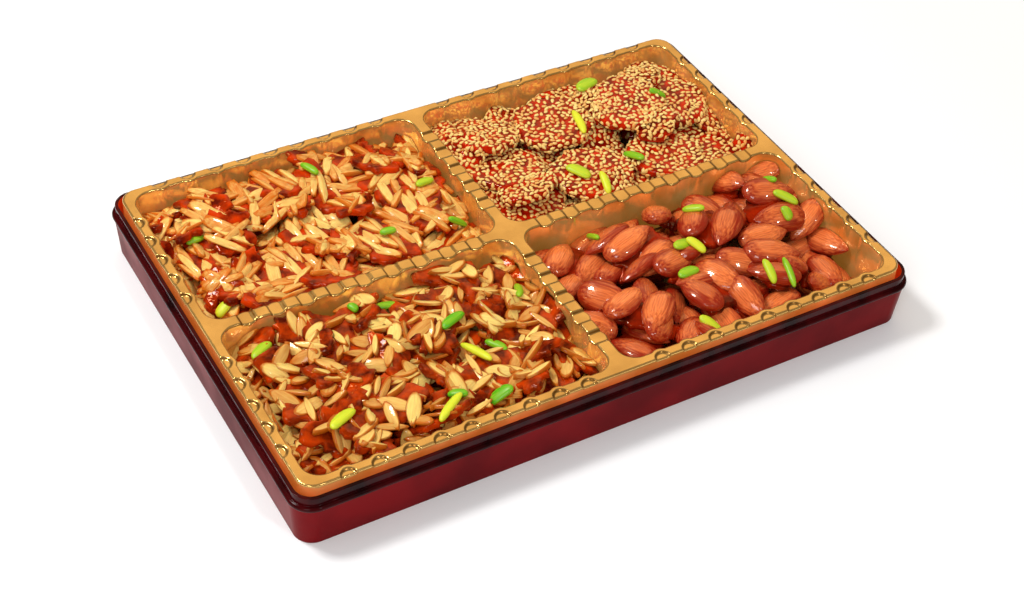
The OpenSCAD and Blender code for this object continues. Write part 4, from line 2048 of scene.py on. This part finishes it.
@dataclass
class Garnish:
    """Slivers of pistachio that lie scattered over the brittle.

    Attributes:
        places: For each sliver, its middle's X and Y, its turn in degrees, its length, its
            width and its tint, from green to yellow.
        thickness: How thick a sliver is.
        wider: How much wider than in the photograph a sliver is drawn.
        proud: How high its middle lies, as a share of its thickness.
    """

    places: tuple[tuple[float, ...], ...] = (
        (-57, 72, -68, 10, 3.0, 0.1),
        (-15, 47, 10, 9, 3.4, 0.5),
        (-116, 56, 3, 8, 3.2, 0.2),
        (-14, 19, -9, 10, 3.0, 0.1),
        (-44, 24, -19, 7, 3.0, 0.1),
        (-121, 15, 21, 8, 4.0, 0.8),
        (-118, -15, 29, 11, 4.0, 0.4),
        (-77, -11, -68, 5, 3.0, 0.0),
        (-63, -13, -6, 12, 3.4, 0.1),
        (-46, -36, 18, 12, 3.8, 0.0),
        (-12, -29, -115, 13, 3.0, 0.2),
        (-45, -54, -73, 17, 3.0, 0.9),
        (-35, -52, -59, 10, 3.2, 0.1),
        (-47, -77, -7, 11, 4.8, 0.0),
        (-63, -72, -36, 8, 3.2, 0.0),
        (-70, -79, 32, 16, 3.0, 0.9),
        (-108, -66, 27, 14, 4.0, 0.8),
        (81, 72, 16, 12, 5.4, 0.4),
        (108, 54, -25, 9, 3.4, 0.1),
        (66, 53, -103, 17, 3.2, 1.0),
        (77, 24, -75, 12, 3.6, 0.1),
        (49, 25, -58, 12, 5.0, 0.6),
        (53, 10, -101, 12, 3.0, 0.9),
        (34, -12, -99, 13, 2.4, 0.2),
        (77, -22, -46, 10, 3.4, 0.4),
        (118, -20, -79, 8, 3.0, 0.1),
        (119, -31, -46, 12, 4.2, 0.5),
        (114, -39, -89, 7, 3.8, 0.3),
        (62, -38, 6, 12, 4.6, 0.4),
        (65, -42, -66, 10, 3.6, 0.9),
        (54, -53, 2, 10, 4.2, 0.2),
        (49, -79, -70, 13, 4.4, 0.7),
        (83, -69, -99, 12, 3.2, 0.6),
        (90, -73, -104, 15, 2.4, 0.2),
    )
    thickness: float = 2.6
    wider: float = 1.2
    proud: float = 0.4

    def lay(self, batches: dict[str, Batch]) -> None:
        """Lays each sliver on the piece that is topmost under it, and leaves it there.

        Args:
            batches: All batches of brittle by node.
        """
        trees = {name: BVHTree.FromBMesh(batch.bm) for name, batch in batches.items()}
        # It looks down from above at the middle and at a share of the length to both sides.
        above, probe_share, steepest = 0.06, 0.35, 3 * MM
        for x, y, turn, length, width, tint in self.places:
            way = flat_way(math.radians(turn))
            middle = Vector((x, y, 0)) * MM
            heights: dict[str, list[float]] = {}
            for name, tree in trees.items():
                found = []
                for share in (0.0, -probe_share, probe_share):
                    start = middle + way * (share * length * MM) + Vector((0, 0, above))
                    hit = tree.ray_cast(start, Vector((0, 0, -1)))[0]
                    found.append(hit.z if hit else -1.0)
                if found[0] > 0:
                    heights[name] = found
            if not heights:
                LOG.warning("no brittle under the pistachio at %s, %s", x, y)
                continue
            carrier = max(heights, key=lambda name: heights[name][0])
            lowest = heights[carrier][0] - steepest
            centre, back, front = (max(height, lowest) for height in heights[carrier])
            pitch = -math.degrees(math.atan2(front - back, 2 * probe_share * length * MM))
            rest = max(centre, (front + back) / 2) / MM + self.thickness * self.proud
            shape = PistachioSliver(length, self.wider * width, self.thickness).template()
            place = Matrix.Scale(MM, 4) @ turned(x, y, rest, turn, pitch, 0)
            batches[carrier].add(shape, place, 2, tint)
            LOG.info("pistachio at %s, %s lies on %s", x, y, carrier)


# The studio


@dataclass
class Studio:
    """A pale floor, soft light and the photograph's camera."""

    camera_at: tuple[float, float, float] = (-0.30476, -0.48337, 0.51510)
    right: tuple[float, float, float] = (0.86812913, -0.49318313, 0.05587671)
    down: tuple[float, float, float] = (-0.29999648, -0.61106530, -0.73253075)
    forward: tuple[float, float, float] = (0.39541613, 0.61916847, -0.67843680)
    lens_mm: float = 63.84
    sensor_mm: float = 36.0

    def camera(self) -> None:
        """Sets up the camera."""
        data = bpy.data.cameras.new("photo_camera")
        data.lens = self.lens_mm
        data.sensor_width = self.sensor_mm
        data.sensor_fit = "HORIZONTAL"
        data.clip_start = 0.01
        camera = in_scene("photo_camera", data)
        axes = Matrix((self.right, -Vector(self.down), -Vector(self.forward))).transposed()
        camera.matrix_world = Matrix.Translation(self.camera_at) @ axes.to_4x4()
        bpy.context.scene.camera = camera

    def lamp(
        self,
        name: str,
        at: tuple[float, float, float],
        size: float,
        watts: float,
        colour: str = "#ffffff",
    ) -> None:
        """Hangs a square soft lamp that points at the box.

        Args:
            name: The lamp's name.
            at: Its place, in metres.
            size: Its side, in metres.
            watts: Its power.
            colour: Its colour.
        """
        data = bpy.data.lights.new(name, "AREA")
        data.size = size
        data.energy = watts
        data.color = linear(colour)[:3]
        lamp = in_scene(name, data)
        lamp.location = at
        lamp.rotation_mode = "QUATERNION"
        lamp.rotation_quaternion = (-Vector(at)).to_track_quat("-Z", "Y")

    def surroundings(self) -> None:
        """Makes the world: white to the camera, and a soft fill light."""
        world = bpy.data.worlds.new("soft_white_room")
        bpy.context.scene.world = world
        tree = empty_tree(world)
        fill, glimpsed = 0.5, 0.2
        rays = add_node(tree, "LightPath").outputs
        mirrored = rays["Is Glossy Ray"]
        unseen = add_node(
            tree, "MapRange", {"To Min": fill, "To Max": glimpsed}, {"Value": mirrored}
        )
        strength = add_node(
            tree,
            "MapRange",
            {"To Max": 1.0},
            {"Value": rays["Is Camera Ray"], "To Min": unseen.outputs[0]},
        )
        tint = add_node(
            tree,
            "Mix",
            {"data_type": "RGBA", 6: linear("#ffffff"), 7: linear("#ffd8a0")},
            {0: mirrored},
        )
        light = add_node(
            tree,
            "Background",
            links={"Color": tint.outputs[2], "Strength": strength.outputs[0]},
        )
        add_node(tree, "OutputWorld", links={"Surface": light.outputs[0]})

    def floor(self) -> None:
        """Lays a large white floor under the box."""
        bm = bmesh.new()
        bmesh.ops.create_grid(bm, x_segments=1, y_segments=1, size=3)
        mesh = finished_mesh(bm, "studio_floor")
        # White painted board: matt, so it shows the box's shadow and no reflection.
        # The camera sees it glow where it is far from the lamps, so that it stays white there.
        material = bpy.data.materials.new("matt_white_board")
        tree = empty_tree(material)
        place = add_node(tree, "TexCoord").outputs["Object"]
        away = add_node(tree, "VectorMath", {"operation": "LENGTH"}, {0: place})
        glow = add_node(
            tree,
            "MapRange",
            {"From Min": 0.3, "From Max": 1.6, "To Max": 0.6},
            {"Value": away.outputs["Value"]},
        )
        seen = add_node(tree, "LightPath").outputs["Is Camera Ray"]
        shown = add_node(tree, "Math", {"operation": "MULTIPLY"}, {0: glow.outputs[0], 1: seen})
        shader = add_node(
            tree,
            "BsdfPrincipled",
            {
                "Base Color": linear("#fafafa"),
                "Roughness": 0.9,
                "Specular IOR Level": 0.0,
                "Emission Color": linear("#ffffff"),
            },
            {"Emission Strength": shown.outputs[0]},
        )
        add_node(tree, "OutputMaterial", links={"Surface": shader.outputs[0]})
        mesh.materials.append(material)
        in_scene("studio_floor", mesh)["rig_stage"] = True

    def set_up(self) -> None:
        """Sets up everything round the box."""
        self.camera()
        self.lamp("key_lamp", (-0.45, 0.35, 0.95), 0.22, 6.8)
        self.lamp("fill_lamp", (-0.75, -0.7, 0.75), 0.35, 3.0)
        self.lamp("back_panel", (0.63, 0.99, 1.08), 1.3, 4.2, "#ffd8a4")
        self.lamp("front_spark", (0.1, -0.9, 1.0), 0.08, 2.2)
        self.surroundings()
        self.floor()
        bpy.context.scene.view_settings.view_transform = "Standard"


def main() -> None:
    """Builds the box, the insert, the brittle and the studio, in that order."""
    logging.basicConfig(level=logging.INFO, format="%(message)s")
    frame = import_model()
    nodes = frame["nodes"]
    OuterBox().build()
    insert = GoldInsert()
    insert.build()
    pocketfuls = [Pocketful(kind, insert) for kind in Kind]
    for pocketful in pocketfuls:
        pocketful.make(nodes)
        CRUMBS[pocketful.kind].lay(pocketful)
    Garnish().lay(
        {name: batch for pocketful in pocketfuls for name, batch in pocketful.batches.items()}
    )
    for pocketful in pocketfuls:
        pocketful.finish(nodes)
    Studio().set_up()
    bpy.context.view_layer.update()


if __name__ == "__main__":
    main()
